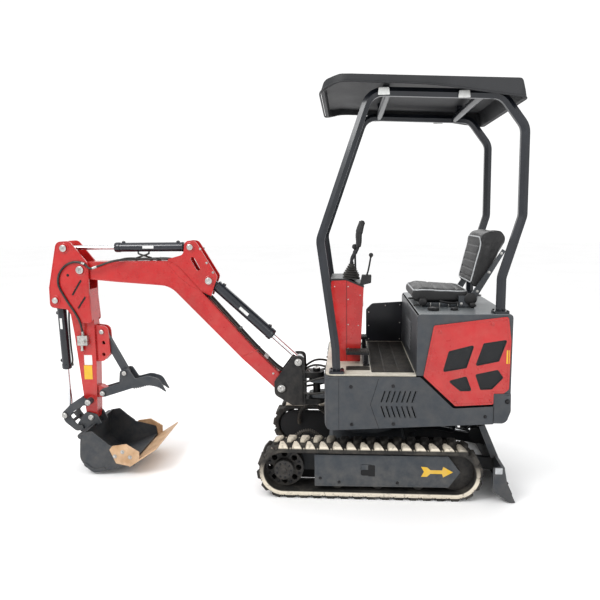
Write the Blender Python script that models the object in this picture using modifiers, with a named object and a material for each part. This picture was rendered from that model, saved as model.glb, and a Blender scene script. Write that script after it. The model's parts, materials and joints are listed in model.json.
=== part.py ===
import math

import bmesh
import bpy
from mathutils import Matrix, Vector

# A one-tonne mini excavator, in metres, +Z up. The boom points along -Y and +X is its left side.
# Every length below is measured from the slew axis on the ground; the last lines move the whole
# machine so that the frame's origin is the middle of its box at ground level.

# --- clearances ---------------------------------------------------------------------------
GAP = 0.0003  # between pieces that touch
RUN = 0.0055  # between pieces that move past each other
PIN_PLAY = 0.0002  # between a pin and its hole
SIDES = 12  # facets of a pin, a hole or a small tube

# --- undercarriage ------------------------------------------------------------------------
TRACK_IN = 0.285  # inner and outer faces of each rubber track, from the middle
TRACK_OUT = 0.465
WHEEL_Y = 0.4625  # sprocket at -Y, idler at +Y
BELT_R = 0.130  # outside of the belt where it goes round a wheel
BELT_T = 0.022
LUG = 0.018
LINKS = 36
WHEEL_Z = BELT_R + LUG
WHEEL_R = BELT_R - BELT_T - 0.001
FRAME_FACE = 0.448  # outer face of the track frame's side plate
FRAME_LOW = 0.066
FRAME_TOP = 0.248
BODY_Y = 0.22  # half length of the car body
BODY_TOP = 0.275
RING_TOP = 0.345
RING_R = 0.190
BLADE_PIVOT = (0.300, 0.145)
BLADE_PIN_R = 0.014
BLADE_ARM_X = (0.1885, 0.2185)
BLADE_LUG_X = (0.158, 0.183)
BLADE_BASE = (0.252, 0.290)  # pin of the blade cylinder on the car body
BLADE_FACE = WHEEL_Y + 0.2530  # top edge of the blade's face, clear of the tracks
BLADE_EYE = (BLADE_FACE - 0.080, 0.225)  # where its rod's eye rests
BLADE_HALF = 0.465
GUARD_HALF = 0.300

# --- house --------------------------------------------------------------------------------
DECK_LOW = 0.440
DECK_TOP = 0.456
HOUSE_X = 0.450  # outer face of the skirts and covers
SHEET = 0.004
FLOOR_Z = 0.690
FRONT_Y = -0.238
COVER_FRONT = 0.250
COVER_TOP = 1.020
REAR_Y = 0.742
KING_Y = -0.300  # vertical pin that the boom swings on
KING_R = 0.022
POST_X = 0.400
TUBE_R = 0.025

# --- working arm: pins as (y, z) -----------------------------------------------------------
FOOT = (-0.509, 0.505)
BOOM_EYE = (-0.405, 0.668)
BOOM_BASE = (-0.938, 1.155)
ARM_BASE = (-1.045, 1.357)
ELBOW = (-1.718, 1.226)
ARM_EYE = (-1.813, 1.357)
BUCKET_BASE = (-1.884, 1.041)
ROCKER_PIN = (-1.713, 0.406)
KNEE = (-1.866, 0.322)
TIP = (-1.712, 0.300)
LINK_PIN = (-1.775, 0.237)
THUMB_PIN = (-1.634, 0.452)
STRUT_TOP = (-1.625, 0.839)
STRUT_HOLES = (STRUT_TOP, (-1.617, 0.770), (-1.620, 0.696))
STRUT_LOW = (-1.489, 0.582)
BOOM_X = 0.050
CHEEK_X = (BOOM_X + RUN, BOOM_X + RUN + 0.012)
ARM_X = 0.040
EAR_X = (ARM_X + RUN, ARM_X + RUN + 0.010)
LINK_X = (EAR_X[1] + RUN, EAR_X[1] + RUN + 0.010)
ROCKER_X = (LINK_X[1] + RUN, LINK_X[1] + RUN + 0.010)
BUCKET_X = 0.225
PIN_R = 0.014
HOSE_R = 0.0065
THIN_HOSE_R = 0.0055

CENTRE_Y = -0.5626  # middle of the machine's box, from the slew axis

# --- scene --------------------------------------------------------------------------------
for old in list(bpy.data.objects):
    bpy.data.objects.remove(old, do_unlink=True)
machine = bpy.data.collections.new("mini_excavator")
bpy.context.scene.collection.children.link(machine)
tools = bpy.data.collections.new("helpers")
bpy.context.scene.collection.children.link(tools)


def paint(name, rgb, rough=0.45, metal=0.0):
    mat = bpy.data.materials.new(name)
    mat.use_nodes = True
    shader = mat.node_tree.nodes["Principled BSDF"]
    shader.inputs["Base Color"].default_value = (*rgb, 1.0)
    shader.inputs["Roughness"].default_value = rough
    shader.inputs["Metallic"].default_value = metal
    return mat


RED = paint("red_paint", (0.55, 0.01, 0.015), 0.35)
DARK = paint("dark_paint", (0.05, 0.06, 0.08), 0.45)
TUBE = paint("post_paint", (0.02, 0.025, 0.04), 0.4)
ROOF = paint("roof_plastic", (0.03, 0.03, 0.035), 0.5)
RUBBER = paint("rubber", (0.02, 0.02, 0.02), 0.85)
STEEL = paint("steel", (0.35, 0.35, 0.36), 0.35, 1.0)
CHROME = paint("chrome", (0.8, 0.8, 0.8), 0.1, 1.0)
HOSE = paint("hose_rubber", (0.015, 0.015, 0.015), 0.5)
CAST = paint("cast_iron", (0.06, 0.06, 0.07), 0.6, 0.4)
DECK = paint("deck_paint", (0.6, 0.56, 0.45), 0.5)
TAN = paint("wear_steel", (0.5, 0.32, 0.2), 0.5, 0.3)
VINYL = paint("seat_vinyl", (0.02, 0.02, 0.02), 0.6)


def temp(mesh, name="helper"):
    """A helper object, which no render or part shows."""
    obj = bpy.data.objects.new(name, mesh)
    tools.objects.link(obj)
    obj.hide_render = True
    obj.display_type = "WIRE"
    return obj


def weld(mesh):
    """Joins a curve's caps to its sides and turns the faces outwards."""
    bm = bmesh.new()
    bm.from_mesh(mesh)
    bmesh.ops.remove_doubles(bm, verts=bm.verts, dist=0.00001)
    bmesh.ops.recalc_face_normals(bm, faces=bm.faces)
    bm.to_mesh(mesh)
    bm.free()
    return mesh


def settle(obj):
    """The object with its modifiers and its place worked into its mesh."""
    bpy.context.view_layer.update()
    seen = obj.evaluated_get(bpy.context.evaluated_depsgraph_get())
    mesh = bpy.data.meshes.new_from_object(seen)
    mesh.transform(obj.matrix_world)
    bpy.data.objects.remove(obj, do_unlink=True)
    return temp(weld(mesh))


def flat(outlines, low, high):
    """Closed outlines in the XY plane, the later ones holes, made solid between two heights."""
    curve = bpy.data.curves.new("outline", "CURVE")
    curve.dimensions = "2D"
    curve.fill_mode = "BOTH"
    curve.extrude = (high - low) / 2
    for outline in outlines:
        line = curve.splines.new("POLY")
        line.points.add(len(outline) - 1)
        for point, (u, v) in zip(line.points, outline):
            point.co = (u, v, 0.0, 1.0)
        line.use_cyclic_u = True
    obj = temp(curve)
    obj.location.z = (low + high) / 2
    return obj


def slab(outline, z0, z1, holes=()):
    """An outline in (x, y), solid from z0 to z1."""
    return settle(flat([outline, *holes], z0, z1))


def plate(outline, x0, x1, holes=()):
    """A side outline in (y, z), solid from x0 to x1."""
    obj = flat([outline, *holes], x0, x1)
    obj.matrix_world = Matrix(((0, 0, 1, 0), (1, 0, 0, 0), (0, 1, 0, 0), (0, 0, 0, 1))) @ obj.matrix_basis
    return settle(obj)


def box(x0, x1, y0, y1, z0, z1, bevel=0.0, segments=2):
    bpy.ops.mesh.primitive_cube_add(size=1, location=((x0 + x1) / 2, (y0 + y1) / 2, (z0 + z1) / 2))
    obj = bpy.context.object
    mesh = obj.data
    mesh.transform(Matrix.Diagonal((x1 - x0, y1 - y0, z1 - z0, 1.0)))
    if bevel:
        soft = obj.modifiers.new("bevel", "BEVEL")
        soft.width = bevel
        soft.segments = segments
    return settle(obj)


def rod(start, end, radius, sides=SIDES):
    """A round bar between two points."""
    start = Vector(start)
    along = Vector(end) - start
    bpy.ops.mesh.primitive_cylinder_add(radius=radius, depth=along.length, vertices=sides)
    obj = bpy.context.object
    turned = along.to_track_quat("Z", "Y").to_matrix().to_4x4()
    obj.matrix_world = Matrix.Translation(start + along / 2) @ turned
    return settle(obj)


def cross(pin, x0, x1, radius, sides=SIDES):
    """A round bar along X at a pin's (y, z)."""
    return rod((x0, *pin), (x1, *pin), radius, sides)


def pipe(points, radius, sides=2):
    """A round tube through points."""
    curve = bpy.data.curves.new("pipe", "CURVE")
    curve.dimensions = "3D"
    curve.bevel_depth = radius
    curve.bevel_resolution = sides
    curve.use_fill_caps = True
    line = curve.splines.new("POLY")
    line.points.add(len(points) - 1)
    for point, co in zip(line.points, points):
        point.co = (*co, 1.0)
    return settle(temp(curve))


def smooth_route(points, step):
    """Points this far apart along a smooth curve through a hose's own points."""
    points = [Vector(p) for p in points]
    ends = [2 * points[0] - points[1], *points, 2 * points[-1] - points[-2]]
    out = [points[0]]
    for before, a, b, after in zip(ends, ends[1:], ends[2:], ends[3:]):
        count = max(1, round((b - a).length / step))
        for i in range(1, count + 1):
            t = i / count
            curve = (3 * a - before - 3 * b + after) * t**3 + (2 * before - 5 * a + 4 * b - after) * t**2
            out.append((curve + (b - before) * t + 2 * a) / 2)
    return out


def hose(points, radius=None):
    """A hydraulic hose through its own points."""
    radius = radius or HOSE_R
    return pipe(smooth_route(points, 3.2 * radius), radius)


def boolean(obj, other, operation):
    change = obj.modifiers.new(operation.lower(), "BOOLEAN")
    change.operation = operation
    change.solver = "EXACT"
    change.object = other
    done = settle(obj)
    bpy.data.objects.remove(other, do_unlink=True)
    return done


def fuse(obj, *others):
    for other in others:
        obj = boolean(obj, other, "UNION")
    return obj


def cut(obj, *others):
    for other in others:
        obj = boolean(obj, other, "DIFFERENCE")
    return obj


def mirrored(obj):
    """The same shape on the other side of the machine."""
    mesh = obj.data.copy()
    mesh.transform(Matrix.Diagonal((-1.0, 1.0, 1.0, 1.0)))
    return temp(weld(mesh))


def both(obj):
    other = mirrored(obj)
    return obj, other


def node(obj, name, mat, smooth=False):
    """Names a finished body and puts it in the machine."""
    tools.objects.unlink(obj)
    machine.objects.link(obj)
    obj.name = name
    obj.data.name = name
    obj.hide_render = False
    obj.display_type = "TEXTURED"
    obj.data.materials.clear()
    obj.data.materials.append(mat)
    if smooth:
        obj.data.polygons.foreach_set("use_smooth", [True] * len(obj.data.polygons))
    return obj


def ring(centre, radius, sides=SIDES):
    """A circle as an outline, for a hole or a round end."""
    return [
        (
            centre[0] + radius * math.cos(2 * math.pi * i / sides),
            centre[1] + radius * math.sin(2 * math.pi * i / sides),
        )
        for i in range(sides)
    ]


def hole(centre, radius):
    """A circle whose flats stay clear of a pin of this radius."""
    return ring(centre, (radius + PIN_PLAY) / math.cos(math.pi / SIDES))


def rounded(corners, steps=3):
    """A closed outline from (u, v, radius) corners."""
    out = []
    count = len(corners)
    for i, (u, v, radius) in enumerate(corners):
        here = Vector((u, v))
        if radius <= 0:
            out.append((u, v))
            continue
        back = Vector(corners[i - 1][:2]) - here
        on = Vector(corners[(i + 1) % count][:2]) - here
        most = 0.48 * min(back.length, on.length)
        back.normalize()
        on.normalize()
        half = back.angle(on) / 2
        reach = min(radius / math.tan(half), most)
        radius = reach * math.tan(half)
        centre = here + (back + on).normalized() * radius / math.sin(half)
        first = here + back * reach - centre
        last = here + on * reach - centre
        turn = math.atan2(first.x * last.y - first.y * last.x, first.dot(last))
        for k in range(steps + 1):
            angle = turn * k / steps
            out.append(
                (
                    centre.x + first.x * math.cos(angle) - first.y * math.sin(angle),
                    centre.y + first.x * math.sin(angle) + first.y * math.cos(angle),
                )
            )
    return out


def bent(points, radius, steps=4):
    """Points of a bent tube's middle line, with rounded corners."""
    points = [Vector(p) for p in points]
    out = [points[0]]
    for a, b, c in zip(points, points[1:], points[2:]):
        back = (a - b).normalized()
        on = (c - b).normalized()
        half = back.angle(on) / 2
        reach = radius / math.tan(half)
        centre = b + (back + on).normalized() * radius / math.sin(half)
        first = b + back * reach - centre
        last = b + on * reach - centre
        turn = first.angle(last)
        for k in range(steps + 1):
            t = k / steps
            swept = first * math.sin((1 - t) * turn) + last * math.sin(t * turn)
            out.append(centre + swept / math.sin(turn))
    out.append(points[-1])
    return out


def toward(a, b, distance):
    """The (y, z) point this far from pin a on the line to pin b."""
    line = Vector(b) - Vector(a)
    return tuple(Vector(a) + line.normalized() * distance)


def barrel(name, base, eye, radius, rod_r, first, last, half_eye, pin_half, pin_r=PIN_R):
    """A cylinder's barrel with its base eye and pin, bored for its rod from its open end."""
    start, end = toward(base, eye, first), toward(base, eye, last)
    bore = toward(base, eye, first + 0.03)
    out = toward(base, eye, last + 0.02)
    body = rod((0, *start), (0, *end), radius, 20)
    body = fuse(
        body,
        rod((0, *toward(base, eye, 0.004)), (0, *toward(base, eye, first + 0.01)), radius * 0.62, 12),
        cross(base, -half_eye, half_eye, pin_r + 0.013),
        cross(base, -pin_half, pin_half, pin_r),
    )
    body = cut(body, rod((0, *bore), (0, *out), rod_r + 0.0009, 16))
    return node(body, name, DARK, True)


def piston_rod(name, base, eye, rod_r, inside, half_eye, eye_r):
    """The rod, from inside the barrel to its eye."""
    body = rod((0, *toward(base, eye, inside)), (0, *eye), rod_r, 16)
    body = fuse(body, cross(eye, -half_eye, half_eye, eye_r))
    return node(body, name, CHROME, True)


# --- tracks -------------------------------------------------------------------------------
def stadium(distance, radius, lift=0.0):
    """The point this far along the loop round both wheels, lifted off it."""
    straight = 2 * WHEEL_Y
    arc = math.pi * radius
    distance %= 2 * (straight + arc)
    if distance < straight:
        return (-WHEEL_Y + distance, WHEEL_Z - radius - lift)
    distance -= straight
    if distance < arc:
        angle = -math.pi / 2 + distance / radius
        return (WHEEL_Y + (radius + lift) * math.cos(angle), WHEEL_Z + (radius + lift) * math.sin(angle))
    distance -= arc
    if distance < straight:
        return (WHEEL_Y - distance, WHEEL_Z + radius + lift)
    distance -= straight
    angle = math.pi / 2 + distance / radius
    return (-WHEEL_Y + (radius + lift) * math.cos(angle), WHEEL_Z + (radius + lift) * math.sin(angle))


pitch = 2 * (2 * WHEEL_Y + math.pi * BELT_R) / LINKS
tread = []
for link in range(LINKS):
    for step, lift in ((0.02, 0), (0.25, 0), (0.33, LUG), (0.62, LUG), (0.70, 0)):
        tread.append(stadium((link + step) * pitch, BELT_R, lift))
inner = BELT_R - BELT_T
inside = []
for side in (1, -1):
    for i in range(15):
        angle = math.pi * (i / 14 - 0.5) + (0 if side > 0 else math.pi)
        inside.append((side * WHEEL_Y + inner * math.cos(angle), WHEEL_Z + inner * math.sin(angle)))
left_track = plate(tread, TRACK_IN, TRACK_OUT, [inside])
node(mirrored(left_track), "track_right", RUBBER)
node(left_track, "track_left", RUBBER)

# --- wheels inside the tracks ---------------------------------------------------------------
BRACKET_IN = 0.299  # inner and outer faces of the brackets that hold the wheels
MOTOR_FACE = 0.313
sprocket_at = (-WHEEL_Y, WHEEL_Z)
idler_at = (WHEEL_Y, WHEEL_Z)
sprocket = fuse(
    cross(sprocket_at, 0.352, 0.398, WHEEL_R, 32),
    cross(sprocket_at, MOTOR_FACE + GAP, 0.438, 0.056, 20),
)
for i in range(8):
    angle = 2 * math.pi * i / 8
    spot = (sprocket_at[0] + 0.078 * math.cos(angle), sprocket_at[1] + 0.078 * math.sin(angle))
    sprocket = cut(sprocket, cross(spot, 0.34, 0.41, 0.017, 8))
node(mirrored(sprocket), "sprocket_right", CAST, True)
node(sprocket, "sprocket_left", CAST, True)
idler = fuse(
    cross(idler_at, 0.345, 0.405, WHEEL_R, 32),
    cross(idler_at, MOTOR_FACE + GAP, FRAME_FACE - 0.008 - GAP, 0.030, 16),
)
node(mirrored(idler), "idler_right", CAST, True)
node(idler, "idler_left", CAST, True)

# --- undercarriage --------------------------------------------------------------------------
side_plate = rounded(
    [
        (-WHEEL_Y + 0.1695, FRAME_LOW, 0.004),
        (WHEEL_Y - 0.0345, FRAME_LOW + 0.006, 0.006),
        (WHEEL_Y + 0.0265, 0.160, 0.006),
        (WHEEL_Y - 0.0385, FRAME_TOP, 0.006),
        (-WHEEL_Y + 0.1695, FRAME_TOP - 0.002, 0.004),
    ],
    2,
)
keyhole = rounded(
    [(-0.041, 0.133, 0.003), (0.018, 0.133, 0.010), (0.018, 0.195, 0.006), (-0.041, 0.195, 0.003)], 2
)
track_frame = fuse(
    plate(side_plate, FRAME_FACE - 0.008, FRAME_FACE),
    box(0.315, FRAME_FACE - 0.004, -WHEEL_Y + 0.1745, WHEEL_Y - 0.1325, 0.078, FRAME_TOP - 0.004),
    box(BRACKET_IN, MOTOR_FACE, -WHEEL_Y - 0.0425, -WHEEL_Y + 0.1925, 0.100, 0.196),
    box(BRACKET_IN, MOTOR_FACE, -WHEEL_Y + 0.1725, WHEEL_Y + 0.0375, 0.110, 0.190),
    *[
        cross((y, BELT_T + LUG + 0.0006 + 0.032), 0.330, 0.420, 0.032, 12)
        for y in (-WHEEL_Y + 0.2925, 0.050, WHEEL_Y - 0.1925)
    ],
)
track_frame = cut(track_frame, plate(keyhole, FRAME_FACE - 0.004, FRAME_FACE + 0.01))
frames = both(track_frame)
under = box(-0.262, 0.262, -BODY_Y, BODY_Y, 0.105, BODY_TOP, 0.02, 1)
under = fuse(under, slab(ring((0, 0), RING_R, 28), 0.26, RING_TOP))
for y0 in (-0.190, 0.090):
    under = fuse(under, box(-0.32, 0.32, y0, y0 + 0.10, 0.125, 0.215))
under = fuse(under, *frames)
blade_lug = rounded(
    [(BODY_Y - 0.03, 0.112, 0), (0.328, 0.117, 0.026), (0.328, 0.173, 0.026), (BODY_Y - 0.03, 0.20, 0)]
)
lug_hole = hole(BLADE_PIVOT, BLADE_PIN_R)
under = fuse(under, *both(plate(blade_lug, *BLADE_LUG_X, [lug_hole])))
base_lug = rounded(
    [(BODY_Y - 0.04, 0.25, 0), (0.280, 0.262, 0.022), (0.280, 0.318, 0.022), (BODY_Y - 0.05, 0.318, 0.01)]
)
base_hole = hole(BLADE_BASE, 0.011)
under = fuse(under, *both(plate(base_lug, 0.022, 0.034, [base_hole])))
node(under, "undercarriage", DARK)

# --- blade --------------------------------------------------------------------------------
mould = rounded(
    [
        (BLADE_FACE - 0.015, 0.200, 0),
        (BLADE_FACE + 0.001, 0.200, 0),
        (BLADE_FACE + 0.019, 0.101, 0.03),
        (BLADE_FACE + 0.063, 0.004, 0.002),
        (BLADE_FACE + 0.03, 0.003, 0.002),
        (BLADE_FACE + 0.001, 0.098, 0.03),
    ],
    3,
)
end_plate = rounded(
    [
        (BLADE_FACE - 0.058, 0.195, 0.004),
        (BLADE_FACE + 0.0005, 0.2005, 0.002),
        (BLADE_FACE + 0.018, 0.101, 0.03),
        (BLADE_FACE + 0.061, 0.005, 0.002),
        (BLADE_FACE + 0.031, 0.0035, 0.003),
        (BLADE_FACE - 0.059, 0.067, 0.006),
    ],
    2,
)
guard_rib = [
    (BLADE_FACE - 0.104, 0.366),
    (BLADE_FACE - 0.069, 0.372),
    (BLADE_FACE + 0.009, 0.188),
    (BLADE_FACE - 0.031, 0.182),
]
guard = [
    (BLADE_FACE - 0.082, 0.370),
    (BLADE_FACE - 0.069, 0.372),
    (BLADE_FACE + 0.007, 0.192),
    (BLADE_FACE - 0.009, 0.188),
]
blade = fuse(
    plate(mould, -BLADE_HALF, BLADE_HALF),
    *both(plate(end_plate, BLADE_HALF - 0.012, BLADE_HALF + 0.0004)),
    plate(guard, -GUARD_HALF + 0.006, GUARD_HALF - 0.006),
    *both(plate(guard_rib, GUARD_HALF - 0.012, GUARD_HALF)),
)
arm_bar = rounded(
    [
        (BLADE_PIVOT[0] - 0.022, BLADE_PIVOT[1] - 0.022, 0.02),
        (BLADE_FACE - 0.215, 0.110, 0.01),
        (BLADE_FACE + 0.008, 0.0765, 0),
        (BLADE_FACE + 0.006, 0.1485, 0),
        (BLADE_FACE - 0.215, 0.168, 0.01),
        (BLADE_PIVOT[0] - 0.022, BLADE_PIVOT[1] + 0.024, 0.02),
    ],
    3,
)
blade = fuse(
    blade,
    *both(plate(arm_bar, *BLADE_ARM_X)),
    *both(cross(BLADE_PIVOT, BLADE_LUG_X[0] - 0.008, BLADE_ARM_X[1] + 0.006, BLADE_PIN_R)),
)
eye_lug = rounded(
    [
        (BLADE_FACE + 0.002, 0.150, 0),
        (BLADE_FACE + 0.002, 0.215, 0),
        (BLADE_FACE - 0.055, 0.262, 0.012),
        (BLADE_FACE - 0.103, 0.245, 0.022),
        (BLADE_FACE - 0.097, 0.195, 0.02),
    ]
)
blade = fuse(blade, *both(plate(eye_lug, 0.0215, 0.0335)))
node(blade, "blade", DARK)
barrel("blade_barrel", BLADE_BASE, BLADE_EYE, 0.024, 0.012, 0.038, 0.285, 0.0165, 0.042, 0.011)
piston_rod("blade_rod", BLADE_BASE, BLADE_EYE, 0.012, 0.150, 0.016, 0.021)

# --- house: frame, skirts and covers ----------------------------------------------------------
deck = rounded(
    [
        (-0.400, -0.180, 0.02),
        (-0.100, -0.215, 0.02),
        (0.100, -0.215, 0.02),
        (0.400, -0.180, 0.02),
        (0.400, 0.640, 0),
        (-0.400, 0.640, 0),
    ],
    3,
)
frame = fuse(
    slab(deck, DECK_LOW, DECK_TOP),
    slab(ring((0, 0), RING_R - 0.025, 28), RING_TOP + 0.0008, DECK_LOW + 0.01),
)
nose = rounded(
    [
        (-0.075, -0.16, 0),
        (-0.046, KING_Y - 0.046, 0.044),
        (0.046, KING_Y - 0.046, 0.044),
        (0.075, -0.16, 0),
    ],
    6,
)
king_hole = hole((0, KING_Y), KING_R)
frame = fuse(
    frame,
    slab(nose, 0.4405, 0.4655, [king_hole]),
    slab(nose, 0.5345, 0.5600, [king_hole]),
    box(-0.060, 0.060, -0.215, -0.160, 0.445, 0.5595),
    *both(box(0.330, 0.342, -0.170, 0.630, 0.450, FLOOR_Z - 0.006)),
    box(-0.336, 0.336, -0.172, -0.160, 0.450, FLOOR_Z - 0.006),
    box(-0.336, 0.336, 0.225, 0.237, 0.450, FLOOR_Z - 0.006),
)
node(frame, "turntable", DARK)

SKIRT_TOP = 0.684
skirt_side = rounded(
    [
        (FRONT_Y, 0.383, 0.03),
        (0.650, 0.432, 0),
        (0.650, 0.529, 0),
        (0.445, 0.515, 0.02),
        (0.270, SKIRT_TOP, 0.015),
        (FRONT_Y, SKIRT_TOP, 0),
    ]
)
corner = rounded(
    [
        (0.300, 0.700, 0),
        (HOUSE_X, 0.700, 0),
        (HOUSE_X, FRONT_Y, 0.055),
        (0.130, FRONT_Y, 0),
        (0.130, FRONT_Y + SHEET, 0),
        (HOUSE_X - SHEET, FRONT_Y + SHEET, 0.051),
        (HOUSE_X - SHEET, 0.690, 0),
        (0.300, 0.690, 0),
    ],
    6,
)
skirt = slab(corner, 0.36, 0.72)
skirt = boolean(skirt, plate(skirt_side, 0.05, HOUSE_X + 0.05), "INTERSECT")
for row, low, lean in ((0, 0.545, 1), (1, 0.462, -1)):
    for i in range(7):
        y = 0.072 + 0.027 * i
        slot = [
            (y - 0.010 * lean, low),
            (y + 0.006 - 0.010 * lean, low),
            (y + 0.006 + 0.010 * lean, low + 0.062),
            (y + 0.010 * lean, low + 0.062),
        ]
        skirt = cut(skirt, plate(slot, HOUSE_X - 0.010, HOUSE_X + 0.010))
node(mirrored(skirt), "skirt_right", DARK)
node(skirt, "skirt_left", DARK)

weight_side = rounded(
    [
        (0.6503, 0.437, 0),
        (0.715, 0.437, 0.035),
        (REAR_Y + 0.003, 0.500, 0.03),
        (REAR_Y, 0.598, 0.004),
        (0.6503, 0.598, 0),
    ]
)
weight = boolean(
    plate(weight_side, -HOUSE_X, HOUSE_X),
    slab(
        rounded([(-HOUSE_X, 0.60, 0), (HOUSE_X, 0.60, 0), (HOUSE_X, 0.76, 0.05), (-HOUSE_X, 0.76, 0.05)], 5),
        0.40,
        0.65,
    ),
    "INTERSECT",
)
node(weight, "counterweight", DARK)

COVER_LOW = 0.5985
hood_side = rounded(
    [
        (COVER_FRONT, FLOOR_Z + 0.0003, 0),
        (0.300, FLOOR_Z + 0.0003, 0),
        (0.450, COVER_LOW, 0.0),
        (REAR_Y - 0.004, COVER_LOW, 0),
        (REAR_Y - 0.004, COVER_TOP, 0.02),
        (COVER_FRONT, COVER_TOP, 0.02),
    ]
)
hood_hollow = [
    (COVER_FRONT + SHEET, FLOOR_Z - 0.2),
    (REAR_Y - 0.004 - SHEET, FLOOR_Z - 0.2),
    (REAR_Y - 0.004 - SHEET, COVER_TOP - SHEET),
    (COVER_FRONT + SHEET, COVER_TOP - SHEET),
]
hood_x = HOUSE_X - SHEET - GAP
hood = cut(
    plate(hood_side, -hood_x, hood_x),
    plate(hood_hollow, -hood_x + SHEET, hood_x - SHEET),
)
node(hood, "engine_cover", DARK)

panel = rounded(
    [
        (0.335, 0.960, 0.012),
        (0.713, 1.008, 0.012),
        (0.730, 0.880, 0.02),
        (0.727, 0.622, 0.02),
        (0.700, 0.6005, 0.02),
        (0.6495, 0.5995, 0.0),
        (0.6495, 0.5405, 0.008),
        (0.453, 0.5285, 0.012),
        (0.285, 0.6885, 0.012),
    ],
    3,
)
windows = (
    [(0.413, 0.825, 0.008), (0.384, 0.712, 0.008), (0.507, 0.735, 0.008), (0.545, 0.860, 0.008)],
    [(0.590, 0.868, 0.008), (0.550, 0.745, 0.008), (0.672, 0.772, 0.008), (0.712, 0.888, 0.008)],
    [(0.412, 0.665, 0.008), (0.477, 0.610, 0.008), (0.537, 0.612, 0.008), (0.507, 0.692, 0.008)],
    [
        (0.551, 0.702, 0.008),
        (0.580, 0.618, 0.008),
        (0.640, 0.622, 0.008),
        (0.697, 0.685, 0.008),
        (0.667, 0.728, 0.008),
    ],
)
side_panel = plate(panel, HOUSE_X - SHEET, HOUSE_X + 0.002, [rounded(w, 2) for w in windows])
node(mirrored(side_panel), "side_panel_right", RED)
node(side_panel, "side_panel_left", RED)

node(box(-0.190, 0.190, 0.340, 0.620, DECK_TOP + GAP, 0.860, 0.02, 1), "engine", CAST)

# --- floor, console and controls ----------------------------------------------------------------
FLOOR_X = HOUSE_X - 0.010
floor_plan = rounded(
    [
        (-FLOOR_X, FRONT_Y + 0.006, 0.05),
        (FLOOR_X, FRONT_Y + 0.006, 0.05),
        (FLOOR_X, COVER_FRONT - 0.001, 0),
        (-FLOOR_X, COVER_FRONT - 0.001, 0),
    ],
    5,
)
node(slab(floor_plan, SKIRT_TOP + GAP, FLOOR_Z + 0.004), "floor_plate", DECK)
DECK_Z = FLOOR_Z + 0.004 + GAP
side_guard = rounded(
    [
        (0.012, DECK_Z, 0),
        (COVER_FRONT - 0.0005, DECK_Z, 0),
        (COVER_FRONT - 0.0005, 0.962, 0.004),
        (0.052, 0.950, 0.03),
        (0.012, 0.910, 0.02),
    ]
)
node(plate(side_guard, -FLOOR_X + 0.014, -FLOOR_X + 0.020), "side_guard", TUBE)

console_side = rounded(
    [
        (-0.166, DECK_Z, 0),
        (-0.040, DECK_Z, 0),
        (-0.020, 1.130, 0.012),
        (-0.120, 1.172, 0.012),
        (-0.205, 1.172, 0.02),
        (-0.205, 0.900, 0.05),
    ]
)
console = plate(console_side, -0.150, 0.150)
node(console, "console", RED)

def stick(x):
    """A control lever with its boot, standing on the console."""
    foot = (x, -0.085, 1.150)
    line = bent(
        [foot, (x, -0.080, 1.270), (x, -0.035, 1.365), (x, -0.032, 1.490)],
        0.06,
    )
    boot = rod((x, -0.090, 1.165), (x, -0.088, 1.232), 0.048, 20)
    lever = fuse(boot, pipe(line, 0.017, 2))
    return cut(lever, plate([(p[0], p[1] + GAP) for p in console_side] , -0.15 - GAP, 0.15 + GAP))


node(stick(0.095), "lever_left", RUBBER, True)
node(stick(-0.095), "lever_right", RUBBER, True)

pedals = fuse(
    box(-0.260, 0.260, -0.024, 0.010, DECK_Z, DECK_Z + 0.012),
    *both(box(0.200, 0.220, -0.020, 0.004, DECK_Z + 0.004, 0.764)),
    *both(box(0.165, 0.255, -0.120, 0.008, 0.756, 0.770)),
)
node(pedals, "pedals", STEEL)

# --- seat -------------------------------------------------------------------------------------
seat_base = fuse(
    box(-0.190, 0.190, 0.290, 0.580, COVER_TOP + GAP, COVER_TOP + 0.024, 0.004),
    *both(box(0.2053, 0.219, 0.500, 0.585, COVER_TOP + 0.004, 1.085)),
    *both(plate([(0.540, 1.055), (0.583, 1.050), (0.745, 1.330), (0.730, 1.340)], 0.2050, 0.218)),
    box(-0.212, 0.212, 0.505, 0.575, COVER_TOP + 0.003, COVER_TOP + 0.022),
)
node(seat_base, "seat_base", DARK)
cushion_side = rounded(
    [
        (0.240, 1.068, 0.02),
        (0.262, COVER_TOP + 0.0245, 0.0),
        (0.560, COVER_TOP + 0.0245, 0.02),
        (0.590, 1.105, 0.03),
        (0.300, 1.128, 0.03),
        (0.240, 1.112, 0.02),
    ]
)
node(plate(cushion_side, -0.2045, 0.2045), "seat_cushion", VINYL)
back_side = rounded(
    [
        (0.562, 1.128, 0.02),
        (0.618, 1.118, 0.02),
        (0.768, 1.408, 0.02),
        (0.735, 1.448, 0.02),
        (0.645, 1.440, 0.02),
        (0.628, 1.400, 0.04),
    ]
)
back = plate(back_side, -0.2045, 0.2045)
node(back, "seat_back", VINYL)

# --- canopy -------------------------------------------------------------------------------------
def post(side):
    x = side * POST_X
    front = (x, -0.172, FLOOR_Z + 0.010)
    rear = (x, 0.682, COVER_TOP + 0.006)
    path = [
        front,
        (x, -0.177, 0.828),
        (x, -0.256, 1.406),
        (x, 0.002, 2.150),
        (x, 0.655, 2.118),
        (x, 0.772, 1.960),
        (x, 0.775, 1.520),
        (x, 0.682, 1.205),
        rear,
    ]
    return pipe(bent(path, 0.09), TUBE_R, 1)


def flange(x, y, z):
    return slab(
        rounded(
            [
                (x - 0.04, y - 0.04, 0.012),
                (x + 0.04, y - 0.04, 0.012),
                (x + 0.04, y + 0.04, 0.012),
                (x - 0.04, y + 0.04, 0.012),
            ],
            2,
        ),
        z,
        z + 0.012,
    )


def under_roof(y):
    """Height of the roof's underside at this y."""
    return 2.214 - (y + 0.150) * 0.046 / 0.870


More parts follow.
